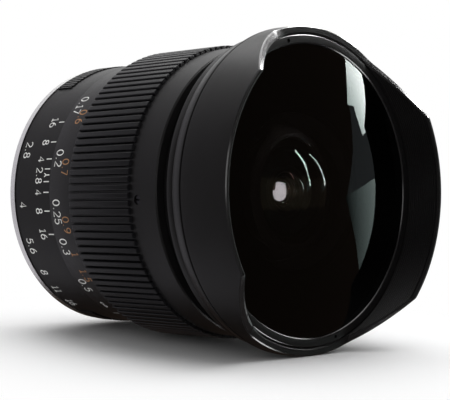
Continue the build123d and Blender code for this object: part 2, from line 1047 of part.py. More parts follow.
with BuildPart() as iris_cover:
    bore(cam_inner, cup_bore - seat_fit, cover_rear, cover_front, mode=Mode.ADD)
keep(iris_cover, "iris_cover")

# Middle cell: the third to sixth elements in front of the iris
middle_inner = 8.2
middle_cell_lip = 1.5
middle_cell_front = front_surface("third_element", middle_edge) + middle_cell_lip
middle_seat = seat_behind("sixth_element", middle_inner, middle_edge)
with BuildPart() as middle_cell:
    turn(
        (middle_inner, iris_front),
        (cell_bore - seat_fit, iris_front),
        (cell_bore - seat_fit, middle_cell_front),
        (middle_edge + seat_fit, middle_cell_front),
        (middle_edge + seat_fit, middle_seat),
        (middle_inner, middle_seat),
    )
keep(middle_cell, "middle_cell")


def spacer_between(front_name, rear_name, inner, edge, name):
    """A ring that holds two elements apart at their edges."""
    with BuildPart() as spacer:
        bore(
            inner,
            edge,
            seat_before(rear_name, inner, edge),
            seat_behind(front_name, inner, edge),
            mode=Mode.ADD,
        )
    keep(spacer, name)


spacer_between("fourth_element", "fifth_element", middle_inner, middle_edge, "middle_spacer")

with BuildPart() as middle_retaining_ring:
    bore(
        middle_inner,
        middle_edge,
        seat_before("third_element", middle_inner, middle_edge),
        middle_cell_front - turning_gap,
        mode=Mode.ADD,
    )
keep(middle_retaining_ring, "middle_retaining_ring")

# Rear cell: the seventh to eleventh elements behind the iris
rear_inner = 7.8
rear_seat = seat_before("seventh_element", rear_inner, rear_edge)
with BuildPart() as rear_cell:
    turn(
        (rear_edge + seat_fit, optics_rear),
        (cell_bore - seat_fit, optics_rear),
        (cell_bore - seat_fit, iris_rear),
        (rear_inner, iris_rear),
        (rear_inner, rear_seat),
        (rear_edge + seat_fit, rear_seat),
    )
keep(rear_cell, "rear_cell")

spacer_between("eighth_element", "ninth_element", rear_inner, rear_edge, "rear_spacer")
spacer_between("tenth_element", "eleventh_element", rear_inner, rear_edge, "last_spacer")

with BuildPart() as rear_retaining_ring:
    bore(
        rear_inner,
        rear_edge,
        optics_rear,
        seat_behind("eleventh_element", rear_inner, rear_edge),
        mode=Mode.ADD,
    )
keep(rear_retaining_ring, "rear_retaining_ring")

# Front cell: carries the second element on the middle cell
front_cell_hub = 14.5
front_cell_nose = 16.0
front_cell_hub_length = 6.0
front_cell_flange_length = 4.0
front_cell_rear = optics_front - front_cell_hub_length
front_cell_step = optics_front - front_cell_flange_length
second_seat = rear_surface("second_element", second_clear)
second_ring_inner = 13.4
second_ring_rear = seat_before("second_element", second_ring_inner, second_edge)
second_ring_thickness = 0.8
front_cell_front = second_ring_rear + second_ring_thickness
with BuildPart() as front_cell:
    turn(
        (cell_bore, front_cell_rear),
        (front_cell_hub, front_cell_rear),
        (front_cell_hub, front_cell_step),
        (shell_bore - seat_fit, front_cell_step),
        (shell_bore - seat_fit, optics_front),
        (front_cell_nose, optics_front),
        (front_cell_nose, front_cell_front),
        (second_edge + running_fit, front_cell_front),
        (second_edge + running_fit, second_seat),
        (cell_bore, second_seat),
    )
keep(front_cell, "front_cell")

with BuildPart() as second_retaining_ring:
    bore(
        second_ring_inner,
        second_edge + running_fit - seat_fit,
        second_ring_rear,
        front_cell_front,
        mode=Mode.ADD,
    )
keep(second_retaining_ring, "second_retaining_ring")

# Front barrel: the waist, and the seat of the front glass
front_barrel_rear = helicoid_front + retract_travel + loose_gap
front_barrel_wall = 0.95
front_barrel_inner = 23.0
glass_seat_radius = dome_edge + running_fit
front_seat = rear_surface("front_element", dome_clear)
front_baffle_thickness = 0.4
front_ledge = front_seat - front_baffle_thickness
front_barrel_outer = glass_seat_radius + front_barrel_wall
front_barrel_setback = 1.0
front_barrel_front = rim - front_barrel_setback
with BuildPart() as front_barrel:
    turn(
        (thread_radius + seat_fit, front_barrel_rear),
        (waist_radius, front_barrel_rear),
        (waist_radius, front_ledge - front_barrel_wall),
        (front_barrel_outer, front_ledge - front_barrel_wall),
        (front_barrel_outer, front_barrel_front),
        (glass_seat_radius, front_barrel_front),
        (glass_seat_radius, front_ledge),
        (front_barrel_inner, front_ledge),
        (front_barrel_inner, optics_front),
        (thread_radius + seat_fit, optics_front),
    )
keep(front_barrel, "front_barrel")

with BuildPart() as front_light_baffle:
    bore(
        dome_clear,
        dome_edge,
        front_ledge,
        front_seat,
        mode=Mode.ADD,
    )
keep(front_light_baffle, "front_light_baffle")

# Front retaining ring, with spanner holes in its face
front_ring_lip = 0.55
front_ring_overhang = 0.45
front_ring_inner = dome_edge - front_ring_lip
front_ring_flange = front_barrel_outer + front_ring_overhang
front_ring_flange_thickness = 1.15
spanner_hole_radius = 0.45
spanner_hole_depth = 0.5
spanner_hole_count = 2
spanner_hole_angle = 110.6
front_ring_front = front_barrel_front + front_ring_flange_thickness
with BuildPart() as front_retaining_ring:
    turn(
        (front_ring_inner, front_surface("front_element", front_ring_inner)),
        (dome_edge, front_surface("front_element", front_ring_inner)),
        (dome_edge, front_barrel_front),
        (front_ring_flange, front_barrel_front),
        (front_ring_flange, front_ring_front),
        (front_ring_inner, front_ring_front),
    )
    for hole in range(spanner_hole_count):
        axial_pin(
            spanner_hole_radius,
            (front_ring_inner + front_ring_flange) / 2,
            spanner_hole_angle + hole * 360 / spanner_hole_count,
            front_ring_front - spanner_hole_depth,
            front_ring_front + overrun,
            mode=Mode.SUBTRACT,
        )
keep(front_retaining_ring, "front_retaining_ring")

# Hood base ring, with a bead round its rear edge
bead_length = 2.2
bead_drop = 1.25
bead_radius = hood_radius - bead_drop
bead_step = 0.25
base_ring_drop = 0.85
base_ring_radius = hood_radius - base_ring_drop
with BuildPart() as hood_base_ring:
    turn(
        (front_barrel_outer + seat_fit, lip_rear),
        (bead_radius - bead_step, lip_rear),
        (bead_radius, lip_rear + bead_step),
        (bead_radius, lip_rear + bead_length - bead_step),
        (bead_radius - bead_step, lip_rear + bead_length),
        (base_ring_radius, lip_rear + bead_length),
        (hood_radius, lip_front),
        (front_barrel_outer + seat_fit, lip_front),
    )
keep(hood_base_ring, "hood_base_ring")

# Petal hood: a tube cut away above and below, so that two petals stand at the sides
petal_tip_narrowing = 15.15
petal_root_narrowing = 4.35
petal_tip_half_width = hood_radius - petal_tip_narrowing
petal_root_half_width = hood_radius - petal_root_narrowing
petal_tip_corner = 0.8
petal_root_corner = 5.0
hood_taper_setback = 0.8
hood_taper_start = rim - hood_taper_setback
hood_edge_chamfer = 0.28
hood_bore = front_ring_flange + running_fit
with BuildPart() as petal_hood:
    turn(
        (front_barrel_outer + seat_fit, hood_rear),
        (hood_radius, hood_rear),
        (hood_radius, hood_taper_start),
        (petal_tip_radius, petal_tip - hood_edge_chamfer),
        (petal_tip_radius - hood_edge_chamfer, petal_tip),
        (hood_bore + hood_edge_chamfer, petal_tip),
        (hood_bore, petal_tip - hood_edge_chamfer),
        (hood_bore, front_barrel_front - turning_gap),
        (front_barrel_outer + seat_fit, front_barrel_front - turning_gap),
    )
    with BuildSketch(Plane.YZ) as notch:
        with BuildLine():
            Polyline(
                (-petal_tip - overrun, petal_tip_half_width),
                (-petal_tip, petal_tip_half_width),
                (-rim, petal_root_half_width),
                (-rim, hood_radius + overrun),
                (-petal_tip - overrun, hood_radius + overrun),
                close=True,
            )
        make_face()
        tip_corner = (-petal_tip, petal_tip_half_width)
        root_corner = (-rim, petal_root_half_width)
        fillet(notch.vertices().sort_by_distance(tip_corner)[0], petal_tip_corner)
        fillet(notch.vertices().sort_by_distance(root_corner)[0], petal_root_corner)
        mirror(about=Plane.XZ)
    extrude(notch.sketch, amount=hood_radius + overrun, both=True, mode=Mode.SUBTRACT)
keep(petal_hood, "petal_hood")
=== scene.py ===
import json
from math import cos, hypot, pi, radians, sin, sqrt

import bmesh
import bpy
from mathutils import Matrix, Vector


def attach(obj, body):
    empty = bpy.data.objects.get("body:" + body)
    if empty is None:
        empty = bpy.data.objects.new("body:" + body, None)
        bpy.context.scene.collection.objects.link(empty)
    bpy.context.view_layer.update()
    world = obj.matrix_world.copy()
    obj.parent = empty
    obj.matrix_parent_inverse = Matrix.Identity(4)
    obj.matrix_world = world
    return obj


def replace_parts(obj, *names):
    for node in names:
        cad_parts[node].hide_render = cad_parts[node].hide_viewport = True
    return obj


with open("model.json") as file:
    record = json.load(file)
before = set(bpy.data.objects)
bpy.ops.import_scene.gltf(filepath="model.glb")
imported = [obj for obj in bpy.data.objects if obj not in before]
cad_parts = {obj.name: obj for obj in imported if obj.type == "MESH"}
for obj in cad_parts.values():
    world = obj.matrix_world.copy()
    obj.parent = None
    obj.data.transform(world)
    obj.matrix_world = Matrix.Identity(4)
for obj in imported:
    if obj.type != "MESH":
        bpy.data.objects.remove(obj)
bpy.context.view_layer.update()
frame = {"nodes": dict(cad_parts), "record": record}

# Lengths in this script are written in millimetres and turned into metres at the end.
# A station is the distance in front of the flange plane, so a station s lies at y = -s.
# Polar angles run from +X towards +Z. The index line is at 180 degrees.
MM = 0.001
INDEX_ANGLE = 180
TURNED_STEPS = 288


# Mesh helpers

def add_object(name, mesh, material, body):
    piece = bpy.data.objects.new(name, mesh)
    bpy.context.scene.collection.objects.link(piece)
    mesh.materials.append(material)
    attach(piece, body)
    return piece


def finish_mesh(bm, name, sharp_angle=32):
    mesh = bpy.data.meshes.new(name)
    bm.to_mesh(mesh)
    bm.free()
    mesh.shade_smooth()
    mesh.set_sharp_from_angle(angle=radians(sharp_angle))
    return mesh


def spin_outline(outline, steps, closed=True, weld=0.001):
    """An outline of (radius, station) points, turned once round the axis. Weld is in millimetres."""
    bm = bmesh.new()
    points = [bm.verts.new((radius * MM, -station * MM, 0)) for radius, station in outline]
    followers = points[1:] + (points[:1] if closed else [])
    for here, there in zip(points, followers):
        bm.edges.new((here, there))
    bmesh.ops.spin(
        bm,
        geom=bm.verts[:] + bm.edges[:],
        cent=(0, 0, 0),
        axis=(0, 1, 0),
        angle=2 * pi,
        steps=steps,
        use_merge=True,
        use_duplicate=False,
    )
    bmesh.ops.remove_doubles(bm, verts=bm.verts[:], dist=weld * MM)
    bmesh.ops.recalc_face_normals(bm, faces=bm.faces[:])
    return bm


def soften_corners(bm, width):
    """Rounds every corner sharper than 25 degrees."""
    corners = [
        edge for edge in bm.edges
        if len(edge.link_faces) == 2 and edge.calc_face_angle(0) > radians(25)
    ]
    bmesh.ops.bevel(
        bm,
        geom=corners,
        offset=width * MM,
        offset_type="OFFSET",
        segments=2,
        profile=0.5,
        affect="EDGES",
        clamp_overlap=True,
        material=-1,
    )


def crisp_edges(piece, least_outward):
    """Gives the chamfers and sloping faces that look forward, and outward enough, the crisp edge finish."""
    piece.data.materials.append(edge_black)
    for face in piece.data.polygons:
        radius = hypot(face.center.x, face.center.z)
        outward = (face.center.x * face.normal.x + face.center.z * face.normal.z) / radius
        if -0.94 < face.normal.y < -0.35 and outward > least_outward:
            face.material_index = 1


def turned_ring(name, outline, material, body, corner):
    bm = spin_outline(outline, TURNED_STEPS)
    soften_corners(bm, corner)
    return add_object(name, finish_mesh(bm, name), material, body)


# Shader node groups

def make_group(name, inputs, outputs):
    group = bpy.data.node_groups.new(name, "ShaderNodeTree")
    for label, kind, value in inputs:
        socket = group.interface.new_socket(label, in_out="INPUT", socket_type=kind)
        socket.default_value = value
    for label, kind in outputs:
        group.interface.new_socket(label, in_out="OUTPUT", socket_type=kind)
    return group, group.nodes.new("NodeGroupInput"), group.nodes.new("NodeGroupOutput")


def math_node(tree, operation, first, second=None, clamp=False):
    node = tree.nodes.new("ShaderNodeMath")
    node.operation = operation
    node.use_clamp = clamp
    for socket, value in zip(node.inputs, (first, second)):
        if value is None:
            continue
        if isinstance(value, (int, float)):
            socket.default_value = value
        else:
            tree.links.new(value, socket)
    return node.outputs[0]


def noise_node(tree, vector, scale, detail, roughness=0.5):
    node = tree.nodes.new("ShaderNodeTexNoise")
    node.inputs["Detail"].default_value = detail
    node.inputs["Roughness"].default_value = roughness
    if isinstance(scale, (int, float)):
        node.inputs["Scale"].default_value = scale
    else:
        tree.links.new(scale, node.inputs["Scale"])
    tree.links.new(vector, node.inputs["Vector"])
    return node.outputs["Fac"]


def spread(tree, value, low, high, out_low=0.0, out_high=1.0):
    """Maps a value from one range to another, and holds it inside."""
    node = tree.nodes.new("ShaderNodeMapRange")
    node.clamp = True
    for label, number in (("From Min", low), ("From Max", high), ("To Min", out_low), ("To Max", out_high)):
        node.inputs[label].default_value = number
    tree.links.new(value, node.inputs["Value"])
    return node.outputs["Result"]


def make_blasted_grain():
    """Fine pitting of a blasted and anodised surface, with slow clouds over it."""
    group, into, out = make_group(
        "blasted_grain",
        (("Grains per metre", "NodeSocketFloat", 9000.0), ("Clouds per metre", "NodeSocketFloat", 60.0)),
        (("Pits", "NodeSocketFloat"), ("Clouds", "NodeSocketFloat")),
    )
    place = group.nodes.new("ShaderNodeTexCoord").outputs["Object"]
    pits = noise_node(group, place, into.outputs["Grains per metre"], 3.0, 0.6)
    clouds = noise_node(group, place, into.outputs["Clouds per metre"], 4.0, 0.55)
    group.links.new(spread(group, pits, 0.25, 0.75), out.inputs["Pits"])
    group.links.new(spread(group, clouds, 0.3, 0.7), out.inputs["Clouds"])
    return group


def make_lathe_lines():
    """Circular tool lines round the axis, on faces and on cylinders."""
    group, into, out = make_group(
        "lathe_lines",
        (("Lines per metre", "NodeSocketFloat", 6000.0),),
        (("Lines", "NodeSocketFloat"),),
    )
    place = group.nodes.new("ShaderNodeTexCoord").outputs["Object"]
    parts = group.nodes.new("ShaderNodeSeparateXYZ")
    group.links.new(place, parts.inputs[0])
    across = math_node(group, "MULTIPLY", parts.outputs["X"], parts.outputs["X"])
    upright = math_node(group, "MULTIPLY", parts.outputs["Z"], parts.outputs["Z"])
    radius = math_node(group, "SQRT", math_node(group, "ADD", across, upright))
    joined = group.nodes.new("ShaderNodeCombineXYZ")
    group.links.new(radius, joined.inputs["X"])
    group.links.new(parts.outputs["Y"], joined.inputs["Y"])
    lines = noise_node(group, joined.outputs[0], into.outputs["Lines per metre"], 2.0, 0.7)
    group.links.new(spread(group, lines, 0.3, 0.7), out.inputs["Lines"])
    return group


def make_handling_dust():
    """Sparse dust specks and faint wipe marks left by handling."""
    group, into, out = make_group(
        "handling_dust",
        (("Specks per metre", "NodeSocketFloat", 1500.0), ("Amount", "NodeSocketFloat", 0.5)),
        (("Specks", "NodeSocketFloat"), ("Wipes", "NodeSocketFloat")),
    )
    place = group.nodes.new("ShaderNodeTexCoord").outputs["Object"]
    cells = group.nodes.new("ShaderNodeTexVoronoi")
    cells.feature = "F1"
    group.links.new(place, cells.inputs["Vector"])
    group.links.new(into.outputs["Specks per metre"], cells.inputs["Scale"])
    near = spread(group, cells.outputs["Distance"], 0.03, 0.09, 1.0, 0.0)
    patches = noise_node(group, place, 180.0, 3.0)
    sparse = spread(group, patches, 0.52, 0.66)
    specks = math_node(group, "MULTIPLY", math_node(group, "MULTIPLY", near, sparse), into.outputs["Amount"])
    stretched = group.nodes.new("ShaderNodeMapping")
    stretched.inputs["Rotation"].default_value = (0.5, 0.3, 0.9)
    stretched.inputs["Scale"].default_value = (30.0, 220.0, 60.0)
    group.links.new(place, stretched.inputs["Vector"])
    streaks = noise_node(group, stretched.outputs[0], 1.0, 3.0, 0.6)
    wipes = math_node(group, "MULTIPLY", spread(group, streaks, 0.5, 0.75), into.outputs["Amount"])
    group.links.new(specks, out.inputs["Specks"])
    group.links.new(wipes, out.inputs["Wipes"])
    return group


blasted_grain = make_blasted_grain()
lathe_lines = make_lathe_lines()
handling_dust = make_handling_dust()


# Materials

def place_group(tree, group, **values):
    node = tree.nodes.new("ShaderNodeGroup")
    node.node_tree = group
    for label, value in values.items():
        node.inputs[label.replace("_", " ")].default_value = value
    return node


def mix_colour(tree, factor, first, second):
    node = tree.nodes.new("ShaderNodeMix")
    node.data_type = "RGBA"
    tree.links.new(factor, node.inputs[0])
    for socket, value in ((node.inputs[6], first), (node.inputs[7], second)):
        if isinstance(value, tuple):
            socket.default_value = (*value, 1.0)
        else:
            tree.links.new(value, socket)
    return node.outputs[2]


def surface(
    name,
    tones,
    roughness,
    metallic=0.0,
    specular=0.5,
    grains=9000.0,
    grain_depth=0.004,
    lines=6000.0,
    line_depth=0.0,
    dust=0.3,
):
    """A solid finish: two tones in slow clouds, grain and tool lines in the bump, dust in the roughness."""
    material = bpy.data.materials.new(name)
    material.use_nodes = True
    tree = material.node_tree
    shader = tree.nodes["Principled BSDF"]
    shader.inputs["Metallic"].default_value = metallic
    shader.inputs["Specular IOR Level"].default_value = specular
    grain = place_group(tree, blasted_grain, Grains_per_metre=grains)
    tool = place_group(tree, lathe_lines, Lines_per_metre=lines)
    worn = place_group(tree, handling_dust, Amount=dust)
    base = mix_colour(tree, grain.outputs["Clouds"], tones[0], tones[1])
    pale = tuple(min(1.0, value + 0.12) for value in tones[1])
    tree.links.new(mix_colour(tree, worn.outputs["Specks"], base, pale), shader.inputs["Base Color"])
    rough = spread(tree, grain.outputs["Clouds"], 0.0, 1.0, roughness[0], roughness[1])
    wiped = math_node(tree, "MULTIPLY", worn.outputs["Wipes"], 0.12)
    lined = math_node(tree, "MULTIPLY", tool.outputs["Lines"], 0.04)
    total = math_node(tree, "ADD", math_node(tree, "ADD", rough, wiped), lined, clamp=True)
    tree.links.new(total, shader.inputs["Roughness"])
    pits = math_node(tree, "MULTIPLY", grain.outputs["Pits"], grain_depth)
    cuts = math_node(tree, "MULTIPLY", tool.outputs["Lines"], line_depth)
    bump = tree.nodes.new("ShaderNodeBump")
    bump.inputs["Distance"].default_value = MM
    bump.inputs["Strength"].default_value = 1.0
    tree.links.new(math_node(tree, "ADD", pits, cuts), bump.inputs["Height"])
    tree.links.new(bump.outputs["Normal"], shader.inputs["Normal"])
    return material


def glass(name, colour, index, specular, tint, dust=0.0):
    """Polished glass. The low specular level and its tint are the anti-reflection coat."""
    material = bpy.data.materials.new(name)
    material.use_nodes = True
    tree = material.node_tree
    shader = tree.nodes["Principled BSDF"]
    shader.inputs["Metallic"].default_value = 0.0
    shader.inputs["Transmission Weight"].default_value = 1.0
    shader.inputs["IOR"].default_value = index
    shader.inputs["Specular IOR Level"].default_value = specular
    shader.inputs["Specular Tint"].default_value = (*tint, 1.0)
    worn = place_group(tree, handling_dust, Amount=dust, Specks_per_metre=2500.0)
    clean = tuple(min(1.0, value + 0.01) for value in colour)
    grain = place_group(tree, blasted_grain, Clouds_per_metre=40.0)
    tree.links.new(mix_colour(tree, grain.outputs["Clouds"], colour, clean), shader.inputs["Base Color"])
    haze = math_node(tree, "MULTIPLY", worn.outputs["Specks"], 0.3)
    smear = math_node(tree, "MULTIPLY", worn.outputs["Wipes"], 0.02)
    tree.links.new(math_node(tree, "ADD", haze, smear, clamp=True), shader.inputs["Roughness"])
    return material


satin_black = surface(
    "satin_black_anodising", ((0.0080, 0.0076, 0.0080), (0.0125, 0.0118, 0.0122)), (0.32, 0.40),
    specular=0.15, grains=11000.0, grain_depth=0.010, line_depth=0.003,
)
grip_black = surface(
    "grip_black_anodising", ((0.0085, 0.0083, 0.0095), (0.0130, 0.0127, 0.0145)), (0.32, 0.42),
    specular=0.16, grains=12000.0, grain_depth=0.012, line_depth=0.0,
)
hood_black = surface(
    "hood_black_anodising", ((0.0070, 0.0066, 0.0068), (0.0110, 0.0104, 0.0106)), (0.27, 0.35),
    specular=0.14, grains=12000.0, grain_depth=0.010, line_depth=0.002,
)
baffle_black = surface(
    "matte_black_baffle", ((0.003, 0.003, 0.0033), (0.006, 0.006, 0.0063)), (0.5, 0.62),
    specular=0.10, grains=14000.0, grain_depth=0.03, line_depth=0.02, dust=0.1,
)
edge_black = surface(
    "crisp_edge_black", ((0.012, 0.012, 0.013), (0.02, 0.02, 0.021)), (0.13, 0.18),
    specular=0.5, grains=12000.0, grain_depth=0.002, line_depth=0.001, dust=0.1,
)
satin_chrome = surface(
    "satin_chrome_mount", ((0.66, 0.66, 0.65), (0.76, 0.76, 0.745)), (0.20, 0.30),
    metallic=1.0, grains=7000.0, grain_depth=0.004, line_depth=0.012,
)
turned_aluminium = surface(
    "turned_aluminium", ((0.56, 0.56, 0.57), (0.64, 0.64, 0.65)), (0.28, 0.38),
    metallic=1.0, line_depth=0.02,
)
turned_brass = surface(
    "turned_brass", ((0.62, 0.44, 0.18), (0.74, 0.57, 0.27)), (0.28, 0.36),
    metallic=1.0, line_depth=0.02,
)
polished_steel = surface(
    "polished_screw_steel", ((0.42, 0.42, 0.43), (0.52, 0.52, 0.52)), (0.20, 0.30),
    metallic=1.0, grains=6000.0, grain_depth=0.003, line_depth=0.004,
)
black_steel = surface(
    "blackened_steel", ((0.03, 0.03, 0.034), (0.055, 0.055, 0.06)), (0.32, 0.42),
    metallic=1.0, grains=8000.0, grain_depth=0.004, line_depth=0.002,
)
white_paint = surface(
    "white_engraving_paint", ((0.80, 0.80, 0.78), (0.90, 0.90, 0.88)), (0.5, 0.6),
    grains=9000.0, grain_depth=0.02, dust=0.0,
)
orange_paint = surface(
    "orange_engraving_paint", ((0.36, 0.17, 0.065), (0.46, 0.22, 0.085)), (0.5, 0.6),
    grains=9000.0, grain_depth=0.02, dust=0.0,
)
front_glass = glass("coated_front_glass", (0.985, 0.99, 0.985), 1.52, 1.0, (0.93, 1.0, 0.97), dust=0.02)
hollow_face_glass = glass("coated_hollow_face", (0.985, 0.99, 0.985), 1.52, 0.04, (0.75, 1.0, 0.85))
second_glass = glass("second_coated_glass", (0.985, 0.99, 0.98), 1.851, 0.2, (0.75, 1.0, 0.85))
front_pair_glass = glass("front_pair_glass", (0.99, 0.985, 0.975), 1.444, 0.05, (1.0, 0.62, 0.5))
middle_pair_glass = glass("middle_pair_glass", (0.985, 0.99, 0.98), 1.69, 0.05, (0.75, 1.0, 0.85))
iris_pair_glass = glass("iris_pair_glass", (0.985, 0.985, 0.99), 1.363, 0.05, (0.8, 0.65, 1.0))
rear_pair_glass = glass("rear_pair_glass", (0.99, 0.985, 0.98), 1.494, 0.05, (1.0, 0.8, 0.6))
rear_glass = glass("rear_coated_glass", (0.985, 0.99, 0.98), 1.741, 0.05, (0.75, 1.0, 0.85))

slot_finish = {
    "mount_chrome": satin_chrome,
    "black_enamel": satin_black,
    "matte_black": baffle_black,
    "bare_aluminium": turned_aluminium,
    "helicoid_brass": turned_brass,
    "screw_steel": polished_steel,
    "blackened_steel": black_steel,
    "coated_glass": front_glass,
}
slot_of_node = {part["node"]: part["material_slot"] for part in frame["record"]["subparts"]}
for node, cad_object in frame["nodes"].items():
    material = black_steel if node == "collar_set_screws" else slot_finish[slot_of_node[node]]
    if cad_object.data.materials:
        for number in range(len(cad_object.data.materials)):
            cad_object.material_slots[number].material = material
    else:
        cad_object.data.materials.append(material)


# Stations and radii taken over from the source, in millimetres
FOCUS_REAR = 15.11
GRIP_REAR = 24.51
GRIP_FRONT = 44.61
SCALE_BAND_RADIUS = 31.2
GRIP_RADIUS = 33.35
FOCUS_BORE = 30.5
FOCUS_REAR_BORE = 29.05
FOCUS_BORE_STEP = 23.5
LIP_REAR = 57.91
LIP_FRONT = 63.26
HOOD_REAR = 63.46
HOOD_RADIUS = 35.75
RIM = 67.11
PETAL_TIP = 75.81
PETAL_TIP_RADIUS = 35.1
GLASS_TUBE_RADIUS = 33.42
RING_SEAT = 66.11
RING_FRONT = 67.26
RING_INNER = 31.85
RING_OUTER = 33.85


# Glass elements, from the front: vertex station, thickness, curves, edge and clear radius

def fall(curve, height):
    """How far a spherical surface lies behind its vertex at a height from the axis."""
    reach = sqrt(curve**2 - height**2)
    return curve - (reach if curve > 0 else -reach)


def arc_points(vertex, curve, radius, count):
    return [(radius * step / count, vertex - fall(curve, radius * step / count)) for step in range(count + 1)]


BLACKENED_SLOT = 1
HOLLOW_FACE_SLOT = 2


def lens(name, vertex, thickness, front_curve, rear_curve, edge, clear, material):
    """One element. Its rim and ledge are blackened, and the front element's rear has its own coat."""
    front = arc_points(vertex, front_curve, edge, 40)
    rear = arc_points(vertex - thickness, rear_curve, clear, 32)
    ledge = [(edge, rear[-1][1])] if clear < edge else []
    bm = spin_outline(front + ledge + rear[::-1], 192, closed=False, weld=0.0005)
    for face in bm.faces:
        middle = face.calc_center_median() / MM
        radius = hypot(middle.x, middle.z)
        behind_front_face = -middle.y < vertex - fall(front_curve, radius) - 0.05
        if behind_front_face and radius > clear - 0.02:
            face.material_index = BLACKENED_SLOT
        elif behind_front_face and material == front_glass:
            face.material_index = HOLLOW_FACE_SLOT
    piece = add_object(name, finish_mesh(bm, name), material, "optics")
    piece.data.materials.append(baffle_black)
    piece.data.materials.append(hollow_face_glass)
    return piece


elements = (
    ("front_element", 70.3, 2.2, 150.0, 22.0, 32.4, 17.6, front_glass),
    ("second_element", 62.2, 1.8, 38.0, 11.5, 14.5, 10.9, second_glass),
    ("third_element", 50.0, 1.4, -60.0, 14.0, 9.5, 9.5, front_pair_glass),
    ("fourth_element", 48.58, 7.0, 14.0, -24.0, 9.5, 9.5, front_pair_glass),
    ("fifth_element", 39.68, 5.0, 40.0, -18.0, 9.5, 9.5, middle_pair_glass),
    ("sixth_element", 34.66, 1.6, -18.0, -70.0, 9.5, 9.5, middle_pair_glass),
    ("seventh_element", 22.6, 1.2, -40.0, 13.0, 9.0, 9.0, iris_pair_glass),
    ("eighth_element", 21.38, 7.2, 13.0, -17.0, 9.0, 9.0, iris_pair_glass),
    ("ninth_element", 13.4, 4.8, 28.0, -20.0, 9.0, 9.0, rear_pair_glass),
    ("tenth_element", 8.58, 1.3, -20.0, 60.0, 9.0, 9.0, rear_pair_glass),
    ("eleventh_element", 6.2, 3.6, 45.0, -30.0, 9.0, 9.0, rear_glass),
)
for name, *measures in elements:
    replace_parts(lens(name + "_glass", *measures), name)


# Focus ring: the smooth scale band, and 120 ribs with softened lands

RIB_COUNT = 120
GROOVE_DEPTH = 0.85
GROOVE_MOUTH = 0.64
GROOVE_FLOOR = 0.36
LAND_DROP = 0.1
LAND_SOFTENING = 0.12
LAND_OVERHANG = 0.03
GRIP_UNDERCUT = 0.3


def ribbed_grip():
    """The ribbed tube. Its rows are (station, drop below the lands); drops over 1 mm are its ends."""
    pitch = 2 * pi / RIB_COUNT
    floor_radius = GRIP_RADIUS - GROOVE_DEPTH
    mouth = GROOVE_MOUTH / GRIP_RADIUS / 2
    floor = GROOVE_FLOOR / floor_radius / 2
    section = [
        (-pitch / 2, floor_radius),
        (-pitch / 2 + floor, floor_radius),
        (-pitch / 2 + mouth - LAND_OVERHANG / GRIP_RADIUS, GRIP_RADIUS - LAND_DROP),
        (-pitch / 2 + mouth + LAND_SOFTENING / GRIP_RADIUS, GRIP_RADIUS),
        (0.0, GRIP_RADIUS),
        (pitch / 2 - mouth - LAND_SOFTENING / GRIP_RADIUS, GRIP_RADIUS),
        (pitch / 2 - mouth + LAND_OVERHANG / GRIP_RADIUS, GRIP_RADIUS - LAND_DROP),
        (pitch / 2 - floor, floor_radius),
        (pitch / 2, floor_radius),
    ]
    rows = (
        (GRIP_REAR, -2.15),
        (GRIP_REAR + 0.05, -0.42),
        (GRIP_REAR + 0.16, -0.18),
        (GRIP_REAR + 0.34, -0.04),
        (GRIP_REAR + 0.55, 0.0),
        (GRIP_FRONT - 0.20, 0.0),
        (GRIP_FRONT - 0.06, -0.05),
        (GRIP_FRONT, -0.18),
        (GRIP_FRONT, -2.0),
    )
    bm = bmesh.new()
    rings = []
    for station, drop in rows:
        ring = []
        for angle, radius in section:
            if drop < -1:
                height = max(radius + drop, SCALE_BAND_RADIUS - GRIP_UNDERCUT)
            else:
                height = min(radius, GRIP_RADIUS + drop)
            ring.append(bm.verts.new((height * cos(angle) * MM, -station * MM, height * sin(angle) * MM)))
        rings.append(ring)
    for lower, upper in zip(rings, rings[1:]):
        for number in range(len(section) - 1):
            bm.faces.new((lower[number], lower[number + 1], upper[number + 1], upper[number]))
    bmesh.ops.spin(
        bm,
        geom=bm.verts[:] + bm.edges[:] + bm.faces[:],
        cent=(0, 0, 0),
        axis=(0, 1, 0),
        angle=2 * pi,
        steps=RIB_COUNT,
        use_merge=False,
        use_duplicate=True,
    )
    bmesh.ops.remove_doubles(bm, verts=bm.verts[:], dist=0.000002)
    bmesh.ops.recalc_face_normals(bm, faces=bm.faces[:])
    return bm


grip = add_object(
    "focus_grip_ribs", finish_mesh(ribbed_grip(), "focus_grip_ribs", 28), grip_black, "focus"
)
scale_band = turned_ring(
    "focus_scale_band",
    (
        (FOCUS_REAR_BORE, FOCUS_REAR),
        (SCALE_BAND_RADIUS, FOCUS_REAR),
        (SCALE_BAND_RADIUS, GRIP_REAR + 0.02),
        (SCALE_BAND_RADIUS - 0.1, GRIP_FRONT),
        (FOCUS_BORE, GRIP_FRONT),
        (FOCUS_BORE, FOCUS_BORE_STEP),
        (FOCUS_REAR_BORE, FOCUS_BORE_STEP),
    ),
    satin_black, "focus", corner=0.07,
)
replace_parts(grip, "focus_ring")
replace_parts(scale_band, "focus_ring")


# Hood base ring with its bead, and the front retaining ring

BEAD_RADIUS = 34.5
BEAD_CHAMFER = 0.25
BEAD_GROOVE_RADIUS = 34.2
FLARE_FOOT_RADIUS = 34.9

